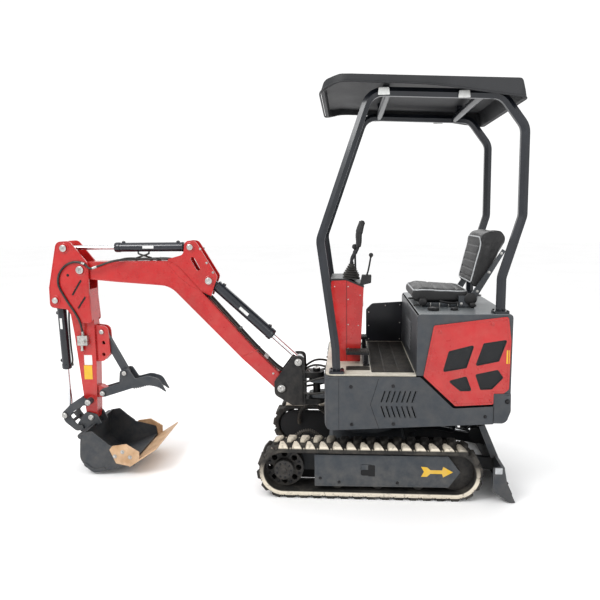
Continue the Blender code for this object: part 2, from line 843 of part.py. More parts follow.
def roof_pad(x, y, z):
    """A pad that stands on a cross tube and holds the roof."""
    y0, y1 = y - 0.018, y + 0.018
    top = [(y1, under_roof(y1) - GAP), (y0, under_roof(y0) - GAP)]
    return plate([(y0, z), (y1, z), *top], x - 0.02, x + 0.02)


hoops = [post(1), post(-1)]
canopy = fuse(
    rod((-POST_X, 0.090, 2.1455), (POST_X, 0.090, 2.1455), 0.020, 16),
    *hoops,
    rod((-POST_X, 0.560, 2.1225), (POST_X, 0.560, 2.1225), 0.020, 16),
    *[roof_pad(x, 0.090, 2.145) for x in (0.25, -0.25)],
    *[roof_pad(x, 0.560, 2.122) for x in (0.25, -0.25)],
    *[flange(x, -0.172, DECK_Z) for x in (POST_X, -POST_X)],
    *[flange(x, 0.682, COVER_TOP + GAP) for x in (POST_X, -POST_X)],
)
node(canopy, "canopy_frame", TUBE, True)

ROOF_X = 0.492
roof_side = rounded(
    [
        (-0.253, 2.150, 0.006),
        (-0.228, 2.205, 0.03),
        (-0.150, 2.222, 0.05),
        (0.728, 2.176, 0.02),
        (0.758, 2.083, 0.004),
        (0.300, 2.160, 0.05),
        (-0.140, 2.186, 0.02),
    ],
    4,
)
roof_under = [
    (-0.240, 2.100),
    (-0.222, 2.198),
    (-0.150, 2.214),
    (0.720, 2.168),
    (0.748, 2.060),
]
plan = rounded(
    [(-ROOF_X, -0.255, 0.16), (ROOF_X, -0.255, 0.16), (ROOF_X, 0.760, 0.05), (-ROOF_X, 0.760, 0.05)], 6
)
plan_in = rounded(
    [
        (-ROOF_X + 0.008, -0.247, 0.155),
        (ROOF_X - 0.008, -0.247, 0.155),
        (ROOF_X - 0.008, 0.752, 0.045),
        (-ROOF_X + 0.008, 0.752, 0.045),
    ],
    6,
)
roof = boolean(plate(roof_side, -0.50, 0.50), slab(plan, 2.0, 2.3), "INTERSECT")
hollow = boolean(plate(roof_under, -0.50, 0.50), slab(plan_in, 2.0, 2.3), "INTERSECT")
roof = cut(roof, hollow)
node(roof, "canopy_roof", ROOF)

# --- swing bracket --------------------------------------------------------------------------------
bracket_cheek = rounded(
    [
        (BOOM_EYE[0] - 0.030, BOOM_EYE[1] + 0.036, 0.030),
        (BOOM_EYE[0] + 0.036, BOOM_EYE[1] + 0.034, 0.030),
        (-0.366, 0.600, 0.02),
        (-0.366, 0.402, 0.01),
        (-0.445, 0.400, 0.02),
        (FOOT[0] - 0.042, FOOT[1] - 0.040, 0.034),
        (FOOT[0] - 0.044, FOOT[1] + 0.040, 0.034),
    ],
    4,
)
foot_hole = hole(FOOT, 0.018)
bracket = fuse(
    box(-CHEEK_X[0] - 0.004, CHEEK_X[0] + 0.004, -0.392, -0.3645, 0.4055, 0.5945),
    *both(plate(bracket_cheek, CHEEK_X[0], CHEEK_X[1] + 0.006, [foot_hole])),
    *both(cross(BOOM_EYE, 0.0255, CHEEK_X[0] + 0.002, 0.030)),
    *both(cross(BOOM_EYE, CHEEK_X[1], CHEEK_X[1] + 0.016, 0.017)),
)
king_lug = rounded(
    [
        (-0.062, -0.370, 0),
        (-0.046, KING_Y + 0.046, 0.044),
        (0.046, KING_Y + 0.046, 0.044),
        (0.062, -0.370, 0),
    ],
    6,
)
bracket = fuse(
    bracket,
    slab(king_lug, 0.5655, 0.5980),
    slab(king_lug, 0.4030, 0.4350),
    rod((0, KING_Y, 0.4100), (0, KING_Y, 0.6150), KING_R, SIDES),
)
node(bracket, "swing_bracket", CAST)

# --- boom ----------------------------------------------------------------------------------------
boom_side = rounded(
    [
        (ELBOW[0] - 0.048, ELBOW[1] + 0.048, 0.044),
        (-1.150, 1.276, 0.14),
        (-0.665, 0.732, 0),
        (-0.480, 0.546, 0.040),
        (-0.500, 0.452, 0.036),
        (-0.744, 0.678, 0),
        (-1.175, 1.125, 0.14),
        (-1.494, 1.150, 0),
        (ELBOW[0] - 0.048, ELBOW[1] - 0.050, 0.044),
    ],
    5,
)
gusset = rounded(
    [
        (-1.190, 1.262, 0),
        (-1.180, 1.288, 0.002),
        (-1.088, 1.312, 0.03),
        (-1.078, 1.398, 0.034),
        (-1.012, 1.392, 0.03),
        (-0.886, 1.180, 0.03),
        (-0.928, 1.062, 0),
        (-1.050, 1.120, 0),
    ],
    4,
)
gusset_slot = rounded(
    [(-1.050, 1.292, 0.013), (-1.026, 1.300, 0.013), (-0.985, 1.222, 0.013), (-1.008, 1.213, 0.013)], 3
)
GUSSET_X = (0.0335, 0.0455)
boom = fuse(
    plate(boom_side, -BOOM_X, BOOM_X),
    *both(plate(gusset, *GUSSET_X, [hole(ARM_BASE, PIN_R), hole(BOOM_BASE, PIN_R + 0.002), gusset_slot])),
    cross(FOOT, -CHEEK_X[1] - 0.014, CHEEK_X[1] + 0.014, 0.018),
    cross(ELBOW, -CHEEK_X[1] - 0.012, CHEEK_X[1] + 0.012, 0.018),
)
node(boom, "boom", RED)
barrel("boom_barrel", BOOM_BASE, BOOM_EYE, 0.034, 0.016, 0.050, 0.505, 0.028, 0.058, PIN_R + 0.002)
piston_rod("boom_rod", BOOM_BASE, BOOM_EYE, 0.016, 0.235, 0.020, 0.029)
barrel("arm_barrel", ARM_BASE, ARM_EYE, 0.028, 0.0135, 0.052, 0.473, 0.028, 0.058)
piston_rod("arm_rod", ARM_BASE, ARM_EYE, 0.0135, 0.312, 0.018, 0.026)

# --- arm -----------------------------------------------------------------------------------------
cheek = rounded(
    [
        (-1.860, 1.396, 0.036),
        (-1.778, 1.400, 0.036),
        (-1.668, 1.262, 0.030),
        (-1.672, 1.060, 0),
        (-1.662, 0.900, 0.02),
        (-1.760, 0.900, 0.04),
        (-1.815, 0.985, 0.02),
        (-1.922, 0.998, 0.026),
        (-1.921, 1.118, 0.05),
    ],
    4,
)
arm_side = rounded(
    [
        (-1.842, 1.090, 0.01),
        (-1.676, 1.110, 0.01),
        (-1.662, 0.855, 0.3),
        (-1.664, 0.640, 0.3),
        (-1.676, 0.350, 0.02),
        (TIP[0] + 0.026, TIP[1] - 0.030, 0.026),
        (TIP[0] - 0.030, TIP[1] - 0.030, 0.028),
        (-1.756, 0.420, 0.05),
        (-1.792, 0.824, 0.3),
        (-1.812, 0.980, 0.05),
    ],
    3,
)
arm_top = [(-1.836, 1.095), (-1.672, 1.105), (-1.664, 0.920), (-1.790, 0.920)]
elbow_hole = hole(ELBOW, 0.018)
arm = fuse(
    plate(arm_side, -ARM_X, ARM_X, [hole(TIP, PIN_R), hole(ROCKER_PIN, PIN_R)]),
    plate(arm_top, -CHEEK_X[0] - 0.004, CHEEK_X[0] + 0.004),
    *both(plate(cheek, *CHEEK_X, [elbow_hole, hole(BUCKET_BASE, PIN_R)])),
    *both(cross(ARM_EYE, 0.0235, CHEEK_X[0] + 0.002, 0.028)),
    *both(cross(ARM_EYE, CHEEK_X[1] - 0.001, CHEEK_X[1] + 0.012, 0.016)),
)
hole_plate = rounded(
    [
        (-1.690, 0.885, 0),
        (-1.585, 0.872, 0.035),
        (-1.577, 0.700, 0.03),
        (-1.620, 0.655, 0.02),
        (-1.690, 0.650, 0),
    ]
)
arm = fuse(
    arm,
    *both(plate(hole_plate, 0.0145, 0.0265, [hole(pin, 0.011) for pin in STRUT_HOLES])),
    plate(
        rounded(
            [
                (-1.700, 0.500, 0),
                (-1.650, 0.495, 0.02),
                (-1.606, 0.470, 0.022),
                (-1.612, 0.425, 0.022),
                (-1.700, 0.420, 0),
            ]
        ),
        -0.0265,
        0.0265,
        [hole(THUMB_PIN, 0.012)],
    ),
)
node(arm, "arm", RED)
barrel("bucket_barrel", BUCKET_BASE, KNEE, 0.0275, 0.0135, 0.055, 0.442, 0.030, CHEEK_X[1] + 0.012)
piston_rod("bucket_rod", BUCKET_BASE, KNEE, 0.0135, 0.250, 0.020, 0.024)

# --- thumb -----------------------------------------------------------------------------------------
thumb_side = rounded(
    [
        (THUMB_PIN[0] - 0.026, THUMB_PIN[1] + 0.002, 0.02),
        (THUMB_PIN[0] - 0.004, THUMB_PIN[1] + 0.028, 0.02),
        (-1.526, 0.514, 0.005),
        (-1.518, 0.596, 0.02),
        (-1.468, 0.612, 0.02),
        (-1.425, 0.545, 0.01),
        (-1.345, 0.566, 0.06),
        (-1.275, 0.548, 0.05),
        (-1.230, 0.462, 0.002),
        (-1.280, 0.496, 0.04),
        (-1.345, 0.508, 0.05),
        (-1.450, 0.484, 0.02),
        (THUMB_PIN[0] + 0.004, THUMB_PIN[1] - 0.026, 0.02),
    ],
    3,
)
THUMB_X = (0.030, 0.042)
thumb = fuse(
    cross(THUMB_PIN, -0.052, 0.052, 0.012),
    *both(plate(thumb_side, *THUMB_X, [hole(STRUT_LOW, 0.011)])),
    cross((-1.390, 0.528), -0.036, 0.036, 0.012, 16),
)
node(thumb, "thumb", DARK)
strut_line = Vector(STRUT_LOW) - Vector(STRUT_TOP)
strut_side = Vector((-strut_line.y, strut_line.x)).normalized() * 0.021
strut_inset = strut_line.normalized() * 0.020
strut_ends = [Vector(STRUT_TOP) - strut_inset, Vector(STRUT_LOW) + strut_inset]
strut_plan = rounded(
    [
        (*(strut_ends[0] - strut_side), 0.016),
        (*(strut_ends[1] - strut_side), 0.016),
        (*(strut_ends[1] + strut_side), 0.016),
        (*(strut_ends[0] + strut_side), 0.016),
    ]
)
strut = fuse(
    plate(strut_plan, -0.014, 0.014),
    cross(STRUT_TOP, -0.034, 0.034, 0.011),
    cross(STRUT_LOW, -0.050, 0.050, 0.011),
)
node(strut, "thumb_strut", DARK)

# --- bucket linkage ---------------------------------------------------------------------------------
rocker_side = rounded(
    [
        (ROCKER_PIN[0] + PIN_R + 0.010, ROCKER_PIN[1] + 0.004, PIN_R + 0.008),
        (ROCKER_PIN[0] - 0.040, ROCKER_PIN[1] + PIN_R + 0.020, 0.04),
        (-1.830, KNEE[1] + PIN_R + 0.052, 0.05),
        (KNEE[0] - PIN_R - 0.014, KNEE[1] + 0.004, PIN_R + 0.006),
        (KNEE[0] + 0.006, KNEE[1] - PIN_R - 0.013, PIN_R + 0.006),
        (-1.810, KNEE[1] - PIN_R + 0.038, 0.05),
        (ROCKER_PIN[0] - 0.030, ROCKER_PIN[1] - PIN_R - 0.004, 0.04),
        (ROCKER_PIN[0] + 0.006, ROCKER_PIN[1] - PIN_R - 0.012, PIN_R + 0.006),
    ],
    3,
)
rocker = fuse(
    cross(ROCKER_PIN, -ROCKER_X[1] - 0.006, ROCKER_X[1] + 0.006, PIN_R),
    *both(plate(rocker_side, *ROCKER_X)),
    *both(cross(KNEE, LINK_X[0] - 0.002, ROCKER_X[1] + 0.008, PIN_R)),
    *both(cross(ROCKER_PIN, ARM_X + 0.002, ROCKER_X[0] + 0.002, PIN_R + 0.006)),
)
node(rocker, "rocker", DARK)
link_side = rounded(
    [
        (KNEE[0] - 0.024, KNEE[1] + 0.010, 0.02),
        (KNEE[0] - 0.014, KNEE[1] - 0.045, 0.05),
        (LINK_PIN[0] - 0.030, LINK_PIN[1] - 0.022, 0.03),
        (LINK_PIN[0] + 0.020, LINK_PIN[1] - 0.014, 0.016),
        (LINK_PIN[0] + 0.010, LINK_PIN[1] + 0.018, 0.012),
        (LINK_PIN[0] - 0.022, LINK_PIN[1] + 0.014, 0.03),
        (KNEE[0] + 0.030, KNEE[1] - 0.020, 0.04),
        (KNEE[0] + 0.020, KNEE[1] + 0.022, 0.02),
    ],
    3,
)
link = fuse(
    rod((-LINK_X[1] + 0.002, -1.842, 0.268), (LINK_X[1] - 0.002, -1.842, 0.268), 0.010, 16),
    *both(plate(link_side, *LINK_X, [hole(KNEE, PIN_R)])),
)
node(link, "bucket_link", DARK)

# --- bucket ------------------------------------------------------------------------------------------
bucket_side = rounded(
    [
        (-1.640, 0.270, 0.002),
        (-1.706, 0.258, 0.02),
        (-1.714, 0.200, 0.0),
        (-1.722, 0.090, 0.08),
        (-1.640, 0.008, 0.08),
        (-1.520, 0.036, 0.10),
        (-1.385, 0.090, 0.0),
        (-1.392, 0.150, 0.02),
        (-1.535, 0.182, 0.06),
    ],
    5,
)
scoop = rounded(
    [
        (-1.600, 0.330, 0.0),
        (-1.690, 0.2545, 0.0),
        (-1.7045, 0.200, 0.0),
        (-1.7130, 0.094, 0.073),
        (-1.637, 0.0165, 0.073),
        (-1.522, 0.0440, 0.093),
        (-1.350, 0.1130, 0.0),
        (-1.300, 0.330, 0.0),
    ],
    5,
)
bucket = cut(
    plate(bucket_side, -BUCKET_X, BUCKET_X),
    plate(scoop, -BUCKET_X + 0.008, BUCKET_X - 0.008),
)
ear = rounded(
    [
        (TIP[0] + 0.034, TIP[1] + 0.020, 0.026),
        (TIP[0] - 0.034, TIP[1] + 0.036, 0.03),
        (LINK_PIN[0] - 0.030, LINK_PIN[1] + 0.016, 0.024),
        (LINK_PIN[0] - 0.010, LINK_PIN[1] - 0.034, 0.024),
        (-1.712, 0.200, 0.0),
        (-1.706, 0.236, 0.0),
        (-1.650, 0.262, 0.0),
    ],
    4,
)
bucket = fuse(
    bucket,
    *both(plate(ear, *EAR_X)),
    cross(TIP, -EAR_X[1] - 0.004, EAR_X[1] + 0.004, PIN_R),
    cross((-1.712, 0.238), -BUCKET_X + 0.002, BUCKET_X - 0.002, 0.017, 16),
)
node(bucket, "bucket", DARK)

edge_plate = plate(
    [(-1.4180, 0.0640), (-1.4120, 0.0560), (-1.2440, 0.1700), (-1.2490, 0.1740)],
    -BUCKET_X - 0.010,
    BUCKET_X + 0.010,
)
cutter = rounded(
    [
        (-1.532, 0.163, 0.006),
        (-1.515, 0.184, 0.006),
        (-1.430, 0.197, 0.004),
        (-1.352, 0.150, 0.004),
        (-1.352, 0.104, 0.0),
        (-1.415, 0.062, 0.0),
        (-1.495, 0.078, 0.006),
    ],
    2,
)
edges = fuse(edge_plate, *both(plate(cutter, BUCKET_X + GAP, BUCKET_X + 0.010)))
edges = cut(edges, plate([(p[0], p[1] - 0.0004) for p in bucket_side], -BUCKET_X - GAP, BUCKET_X + GAP))
node(edges, "cutting_edges", TAN)

# --- hoses -------------------------------------------------------------------------------------------
# Each hose runs where one moving piece holds it, and ends short of the pin that it would bend over.
BACK = (Vector((-0.665, 0.732)), Vector((-1.150, 1.276)))  # the boom's straight back
HOSE_LIFT = 0.0035  # from the boom to its hoses, which their clamps bridge
BOOM_HOSE_X = 0.024
TOP_Z = 1.2755 + HOSE_LIFT + HOSE_R
HOSE_OUT = CHEEK_X[1] + HOSE_R + 0.0004  # middle of a hose that lies on the arm's cheek
HOSE_CLEAR = CHEEK_X[1] + HOSE_R + RUN  # middle of a hose that the cheek swings past


def on_back(share):
    """The (y, z) of a hose on the boom's back, this share of the way up it."""
    line = BACK[1] - BACK[0]
    off = Vector((line.y, -line.x)).normalized() * (HOSE_LIFT + HOSE_R)
    return tuple(BACK[0] + line * share + off)


boom_hose = [
    (BOOM_HOSE_X, -0.593, 0.674),
    (BOOM_HOSE_X, *on_back(0.04)),
    (BOOM_HOSE_X, *on_back(0.35)),
    (BOOM_HOSE_X, *on_back(0.65)),
    (BOOM_HOSE_X, *on_back(0.88)),
    (BOOM_HOSE_X, -1.1505, 1.2745),
    (BOOM_HOSE_X, -1.215, TOP_Z + 0.001),
    (BOOM_HOSE_X, -1.300, TOP_Z),
    (BOOM_HOSE_X + 0.004, -1.380, TOP_Z),
    (0.054, -1.445, TOP_Z),
    (HOSE_CLEAR - 0.003, -1.495, 1.281),
    (HOSE_CLEAR, -1.540, 1.270),
    (HOSE_CLEAR, -1.590, 1.252),
    (HOSE_CLEAR, -1.640, 1.236),
]
clamps = [on_back(0.22), on_back(0.62), (-1.250, TOP_Z)]
boom_hoses = fuse(
    *both(hose(boom_hose)),
    *[cross(spot, -GUSSET_X[0] + 0.001, GUSSET_X[0] - 0.001, HOSE_R + HOSE_LIFT - 0.0006) for spot in clamps],
)
node(boom_hoses, "boom_hoses", HOSE, True)

arm_hose = [
    (HOSE_OUT, -1.685, 1.261),
    (HOSE_OUT, -1.712, 1.272),
    (HOSE_OUT, -1.756, 1.274),
    (HOSE_OUT, -1.802, 1.256),
    (HOSE_OUT, -1.839, 1.218),
    (HOSE_OUT, -1.857, 1.175),
    (HOSE_OUT, -1.856, 1.130),
    (HOSE_OUT, -1.836, 1.085),
    (HOSE_OUT, -1.803, 1.026),
    (HOSE_OUT, -1.766, 0.968),
    (HOSE_OUT, -1.739, 0.912),
    (HOSE_OUT - 0.0015, -1.732, 0.880),
    (0.0660, -1.731, 0.856),
    (0.0605, -1.731, 0.842),
    (0.0600, -1.731, 0.8305),
]
coupling = fuse(
    box(ARM_X + GAP, 0.070, -1.766, -1.702, 0.760, 0.820, 0.002, 1),
    rod((0.0595, -1.731, 0.815), (0.0595, -1.731, 0.8300), 0.010, 6),
    rod((0.0560, -1.742, 0.728), (0.0560, -1.742, 0.770), 0.009),
    rod((0.0600, -1.718, 0.785), (0.0790, -1.718, 0.785), 0.010, 6),
)
for obj, other, side in zip(both(hose(arm_hose)), both(coupling), ("left", "right")):
    node(obj, "arm_hose_" + side, HOSE, True)
    node(other, "coupling_" + side, STEEL)

bucket_hose = [
    (0, -1.8335, 0.990),
    (0, -1.8400, 0.930),
    (0, -1.8420, 0.860),
    (0, -1.8400, 0.760),
    (0, -1.8365, 0.690),
    (0, -1.8345, 0.655),
    (0, -1.8385, 0.628),
]
bucket_hose = fuse(hose(bucket_hose, THIN_HOSE_R), rod((0, -1.8452, 0.624), (0, -1.8330, 0.624), 0.009, 6))
node(bucket_hose, "bucket_cylinder_hose", HOSE, True)
PORT_Z = ARM_BASE[1] - 0.0284  # just under the arm cylinder's barrel
arm_cylinder_hoses = fuse(
    *[
        hose(
            [
                (-side * 0.007, -1.345 + side * 0.045, 1.291),
                (-side * 0.005, -1.345 + side * 0.025, 1.298),
                (0, -1.345, 1.306),
                (side * 0.003, -1.345 - side * 0.032, 1.318),
                (side * 0.003, -1.345 - side * 0.032, PORT_Z),
            ],
            THIN_HOSE_R,
        )
        for side in (1, -1)
    ]
)
node(arm_cylinder_hoses, "arm_cylinder_hoses", HOSE, True)

travel_hose = [
    (0.235, -BODY_Y - GAP, 0.236),
    (0.235, -BODY_Y - 0.020, 0.236),
    (0.236, -0.285, 0.275),
    (0.238, -0.330, 0.302),
    (0.240, -0.385, 0.292),
    (0.246, -0.415, 0.262),
    (0.256, -0.430, 0.205),
    (0.276, -0.430, 0.166),
    (BRACKET_IN - GAP, -0.430, 0.166),
]
for obj, side in zip(both(hose(travel_hose, 0.010)), ("left", "right")):
    node(obj, "travel_hose_" + side, HOSE, True)

# --- origin: the middle of the box, on the ground ----------------------------------------------------
for obj in machine.objects:
    obj.location.y -= CENTRE_Y
for obj in list(tools.objects):
    bpy.data.objects.remove(obj, do_unlink=True)
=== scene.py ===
"""A mini excavator: detail pieces, materials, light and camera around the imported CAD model."""

import json
import math

import bmesh
import bpy
import numpy as np
from mathutils import Matrix, Vector
from mathutils.bvhtree import BVHTree

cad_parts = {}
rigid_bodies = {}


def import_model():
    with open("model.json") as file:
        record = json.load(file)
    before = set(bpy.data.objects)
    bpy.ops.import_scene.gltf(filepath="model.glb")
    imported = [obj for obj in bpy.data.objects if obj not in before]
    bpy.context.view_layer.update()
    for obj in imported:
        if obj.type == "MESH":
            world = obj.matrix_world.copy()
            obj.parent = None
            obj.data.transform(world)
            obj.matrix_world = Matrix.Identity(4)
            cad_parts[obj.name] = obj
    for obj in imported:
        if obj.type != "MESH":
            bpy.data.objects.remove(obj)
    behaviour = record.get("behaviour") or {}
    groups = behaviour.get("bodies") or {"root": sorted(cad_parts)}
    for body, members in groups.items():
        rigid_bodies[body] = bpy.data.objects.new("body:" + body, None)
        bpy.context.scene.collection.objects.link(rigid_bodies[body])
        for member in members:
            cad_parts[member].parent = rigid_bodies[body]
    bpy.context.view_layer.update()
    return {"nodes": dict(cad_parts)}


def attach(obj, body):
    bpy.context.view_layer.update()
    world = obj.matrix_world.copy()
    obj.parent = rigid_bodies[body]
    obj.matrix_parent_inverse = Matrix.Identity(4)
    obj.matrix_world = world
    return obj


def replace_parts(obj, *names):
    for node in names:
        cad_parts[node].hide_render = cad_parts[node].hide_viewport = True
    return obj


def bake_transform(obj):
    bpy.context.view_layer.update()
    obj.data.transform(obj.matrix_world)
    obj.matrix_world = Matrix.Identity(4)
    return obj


for old in list(bpy.data.objects):
    bpy.data.objects.remove(old, do_unlink=True)
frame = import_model()
NODES = frame["nodes"]
scene = bpy.context.scene

# Lengths are in metres. Points are written from the slew axis at ground level, as in the CAD
# source, and MID moves them into the row frame.
MID = 0.5626
TRACK_IN, TRACK_OUT, WHEEL_Y = 0.285, 0.465, 0.4625
BELT_R, BELT_T, LUG, LINKS = 0.130, 0.022, 0.018, 36
WHEEL_Z = BELT_R + LUG
# Outer faces, measured from the middle of the machine.
HOUSE_X, PANEL_X, CONSOLE_X, ROOF_X = 0.450, 0.4505, 0.1498, 0.492
PLATE, BOOM_FACE, EYE_FACE, ARM_FACE, CHEEK = 0.4475, 0.0498, 0.0455, 0.0400, 0.0675
# Heights of the deck's edge, the floor and the engine cover's top, and the house's back.
DECK, FLOOR, COVER_TOP, REAR = 0.7062, 0.694, 1.0205, 0.738
HOSE_R = 0.0065


def row(point):
    """A point of the design, in the row frame."""
    return Vector((point[0], point[1] + MID, point[2]))


# --- materials -----------------------------------------------------------------------------------
class Surface:
    """A procedural material: patches of two colours, dust from below, worn edges and fine grain,
    and where asked a painted highlight on top faces.
    """

    def __init__(self, name, dark, light, rough, metal=0.0, **more):
        get = more.get
        self.material = bpy.data.materials.new(name)
        self.material.use_nodes = True
        self.tree = self.material.node_tree
        self.shader = self.tree.nodes["Principled BSDF"]
        self.shader.inputs["Metallic"].default_value = metal
        self.shader.inputs["Coat Weight"].default_value = get("coat", 0.0)
        self.shader.inputs["Coat Roughness"].default_value = 0.12
        place = self.add("TexCoord").outputs["Object"]
        self.place = place
        axes = self.add("SeparateXYZ")
        self.link(place, axes.inputs[0])
        self.axes = axes.outputs
        stretch = self.add("Mapping")
        self.link(place, stretch.inputs["Vector"])
        stretch.inputs["Scale"].default_value = get("stretch", (1, 1, 1))
        place = stretch.outputs["Vector"]
        cloud = self.noise(place, get("patch", 7.0), 5, 0.62)
        colour = self.add("ValToRGB")
        self.link(cloud, colour.inputs["Fac"])
        colour.color_ramp.elements[0].position = 0.32
        colour.color_ramp.elements[1].position = 0.68
        colour.color_ramp.elements[0].color = (*dark, 1)
        colour.color_ramp.elements[1].color = (*light, 1)
        colour = colour.outputs["Color"]
        grain = self.noise(place, get("grain", 340.0), 3, 0.55)
        round_edge = self.add("Bevel")
        round_edge.samples = 3
        round_edge.inputs["Radius"].default_value = get("edge", 0.0014)
        bump = self.add("Bump")
        bump.inputs["Strength"].default_value = get("bump", 0.10)
        bump.inputs["Distance"].default_value = get("depth", 0.0006)
        self.link(grain, bump.inputs["Height"])
        self.link(round_edge.outputs["Normal"], bump.inputs["Normal"])
        self.link(bump.outputs["Normal"], self.shader.inputs["Normal"])
        self.bump = bump
        roughness = self.span(
            cloud, 0.3, 0.7, rough - get("spread", 0.06), rough + get("spread", 0.06)
        )
        if get("wear"):
            facing = self.add("NewGeometry").outputs["Normal"]
            turn = self.add("VectorMath")
            turn.operation = "DOT_PRODUCT"
            self.link(round_edge.outputs["Normal"], turn.inputs[0])
            self.link(facing, turn.inputs[1])
            rim = self.span(turn.outputs["Value"], 0.995, 0.86, 0.0, get("wear"))
            rubbed = self.span(self.noise(place, 55.0, 4, 0.6), 0.42, 0.6, 0.0, 1.0)
            colour = self.mix(self.times(rim, rubbed), colour, get("worn", (0.35, 0.34, 0.33)))
        # Everything above a height takes a lighter colour: a painted highlight on a top face.
        if get("top"):
            level, top_highlight = get("top")
            colour = self.mix(self.span(
                self.axes["Z"], level - 0.003, level, 0.0, 1.0
            ), colour, top_highlight)
        if get("dust"):
            share, high, low = get("dust")
            fall = self.span(self.axes["Z"], high, low, 0.06, share)
            settled = self.span(self.noise(place, 16.0, 6, 0.68), 0.36, 0.66, 0.15, 1.0)
            amount = self.times(fall, settled)
            colour = self.mix(amount, colour, get("earth", (0.46, 0.39, 0.30)))
            roughness = self.plus(roughness, self.times(amount, None, 0.45))
        self.colour = colour
        self.link(colour, self.shader.inputs["Base Color"])
        self.link(roughness, self.shader.inputs["Roughness"])

    def add(self, kind):
        return self.tree.nodes.new("ShaderNode" + kind)

    def link(self, start, end):
        self.tree.links.new(start, end)

    def noise(self, place, scale, detail, rough):
        node = self.add("TexNoise")
        self.link(place, node.inputs["Vector"])
        node.inputs["Scale"].default_value = scale
        node.inputs["Detail"].default_value = detail
        node.inputs["Roughness"].default_value = rough
        return node.outputs["Fac"]

    def span(self, value, low, high, out_low, out_high):
        """value from low..high as out_low..out_high, held at the ends."""
        node = self.add("MapRange")
        node.clamp = True
        self.link(value, node.inputs["Value"])
        for socket, number in zip(
            ("From Min", "From Max", "To Min", "To Max"), (low, high, out_low, out_high)
        ):
            node.inputs[socket].default_value = number
        return node.outputs["Result"]

    def maths(self, operation, a, b, number=0.0):
        node = self.add("Math")
        node.operation = operation
        self.link(a, node.inputs[0])
        if b is None:
            node.inputs[1].default_value = number
        else:
            self.link(b, node.inputs[1])
        return node.outputs[0]

    def times(self, a, b, number=1.0):
        return self.maths("MULTIPLY", a, b, number)

    def plus(self, a, b, number=0.0):
        return self.maths("ADD", a, b, number)

    def mix(self, amount, under, over):
        node = self.add("Mix")
        node.data_type = "RGBA"
        self.link(amount, node.inputs["Factor"])
        self.link(under, node.inputs["A"])
        if isinstance(over, tuple):
            node.inputs["B"].default_value = (*over, 1)
        else:
            self.link(over, node.inputs["B"])
        return node.outputs["Result"]

    def recolour(self, colour):
        self.link(colour, self.shader.inputs["Base Color"])


red = Surface(
    "painted_red", (0.36, 0.003, 0.005), (0.45, 0.006, 0.008), 0.27, patch=5.0, grain=420.0,
    bump=0.05, coat=0.55, wear=0.35, worn=(0.30, 0.05, 0.045), dust=(0.10, 1.2, 0.3)
)
panel_grey = Surface(
    "painted_slate", (0.030, 0.037, 0.046), (0.037, 0.045, 0.055), 0.42, patch=6.0, bump=0.14,
    coat=0.12, wear=0.55, worn=(0.16, 0.165, 0.17), dust=(0.05, 0.8, 0.2)
)
# The cover's top face and upper edge are painted lighter: a painted highlight.
cover_grey = Surface(
    "painted_slate_cover", (0.030, 0.037, 0.046), (0.037, 0.045, 0.055), 0.42, patch=6.0, bump=0.14,
    coat=0.12, wear=0.5, worn=(0.16, 0.165, 0.17), top=(1.0185, (0.13, 0.145, 0.155)),
    dust=(0.04, 0.9, 0.4)
)
frame_grey = Surface(
    "painted_track_frame", (0.034, 0.042, 0.052), (0.043, 0.052, 0.063), 0.50, patch=8.0, bump=0.2,
    wear=0.6, worn=(0.2, 0.2, 0.2), dust=(0.16, 0.22, 0.03)
)
digger_grey = Surface(
    "painted_bucket", (0.030, 0.037, 0.046), (0.041, 0.048, 0.058), 0.50, patch=9.0, bump=0.3,
    wear=0.8, worn=(0.30, 0.29, 0.28), dust=(0.10, 0.62, 0.05)
)
navy = Surface(
    "painted_barrel", (0.009, 0.011, 0.016), (0.015, 0.018, 0.026), 0.28, patch=6.0, bump=0.05,
    coat=0.5, wear=0.3, worn=(0.12, 0.12, 0.13)
)
tube_black = Surface(
    "powder_coated_tube", (0.008, 0.010, 0.014), (0.014, 0.017, 0.024), 0.33, patch=5.0, bump=0.12,
    coat=0.3, wear=0.25, worn=(0.10, 0.11, 0.12)
)
moulded = Surface(
    "moulded_roof", (0.018, 0.019, 0.021), (0.030, 0.031, 0.034), 0.52, patch=4.0, grain=900.0,
    bump=0.35, depth=0.0003, edge=0.003
)
plastic = Surface(
    "black_plastic", (0.012, 0.012, 0.013), (0.022, 0.022, 0.023), 0.42, grain=700.0, bump=0.2,
    depth=0.0003
)
rubber = Surface(
    "black_rubber", (0.012, 0.012, 0.012), (0.026, 0.025, 0.024), 0.70, patch=14.0, bump=0.35,
    dust=(0.35, 0.75, 0.1)
)
hose_black = Surface(
    "hose_cover", (0.010, 0.010, 0.011), (0.022, 0.022, 0.022), 0.45, patch=18.0, grain=600.0,
    bump=0.25, dust=(0.10, 0.75, 0.2)
)
steel = Surface(
    "zinc_plated_steel", (0.36, 0.36, 0.35), (0.58, 0.57, 0.55), 0.34, 0.9, patch=45.0, bump=0.15,
    edge=0.0006, wear=0.5, worn=(0.8, 0.8, 0.8)
)
black_bolt = Surface(
    "blacked_steel", (0.018, 0.018, 0.020), (0.045, 0.045, 0.048), 0.42, 0.6, patch=60.0, bump=0.2,
    edge=0.0006, wear=0.6, worn=(0.25, 0.25, 0.25)
)
chrome = Surface(
    "chromed_rod", (0.62, 0.63, 0.64), (0.80, 0.81, 0.82), 0.11, 1.0, patch=10.0, bump=0.03,
    spread=0.04, edge=0.0008, stretch=(6, 6, 1)
)
cast = Surface(
    "cast_iron_black", (0.014, 0.015, 0.017), (0.026, 0.027, 0.030), 0.55, 0.25, patch=16.0,
    grain=240.0, bump=0.5, wear=0.6, worn=(0.22, 0.21, 0.20), dust=(0.10, 0.6, 0.1)
)
deck = Surface(
    "deck_edge_paint", (0.46, 0.43, 0.36), (0.60, 0.57, 0.49), 0.50, patch=12.0, bump=0.15,
    wear=0.5, worn=(0.3, 0.28, 0.25)
)
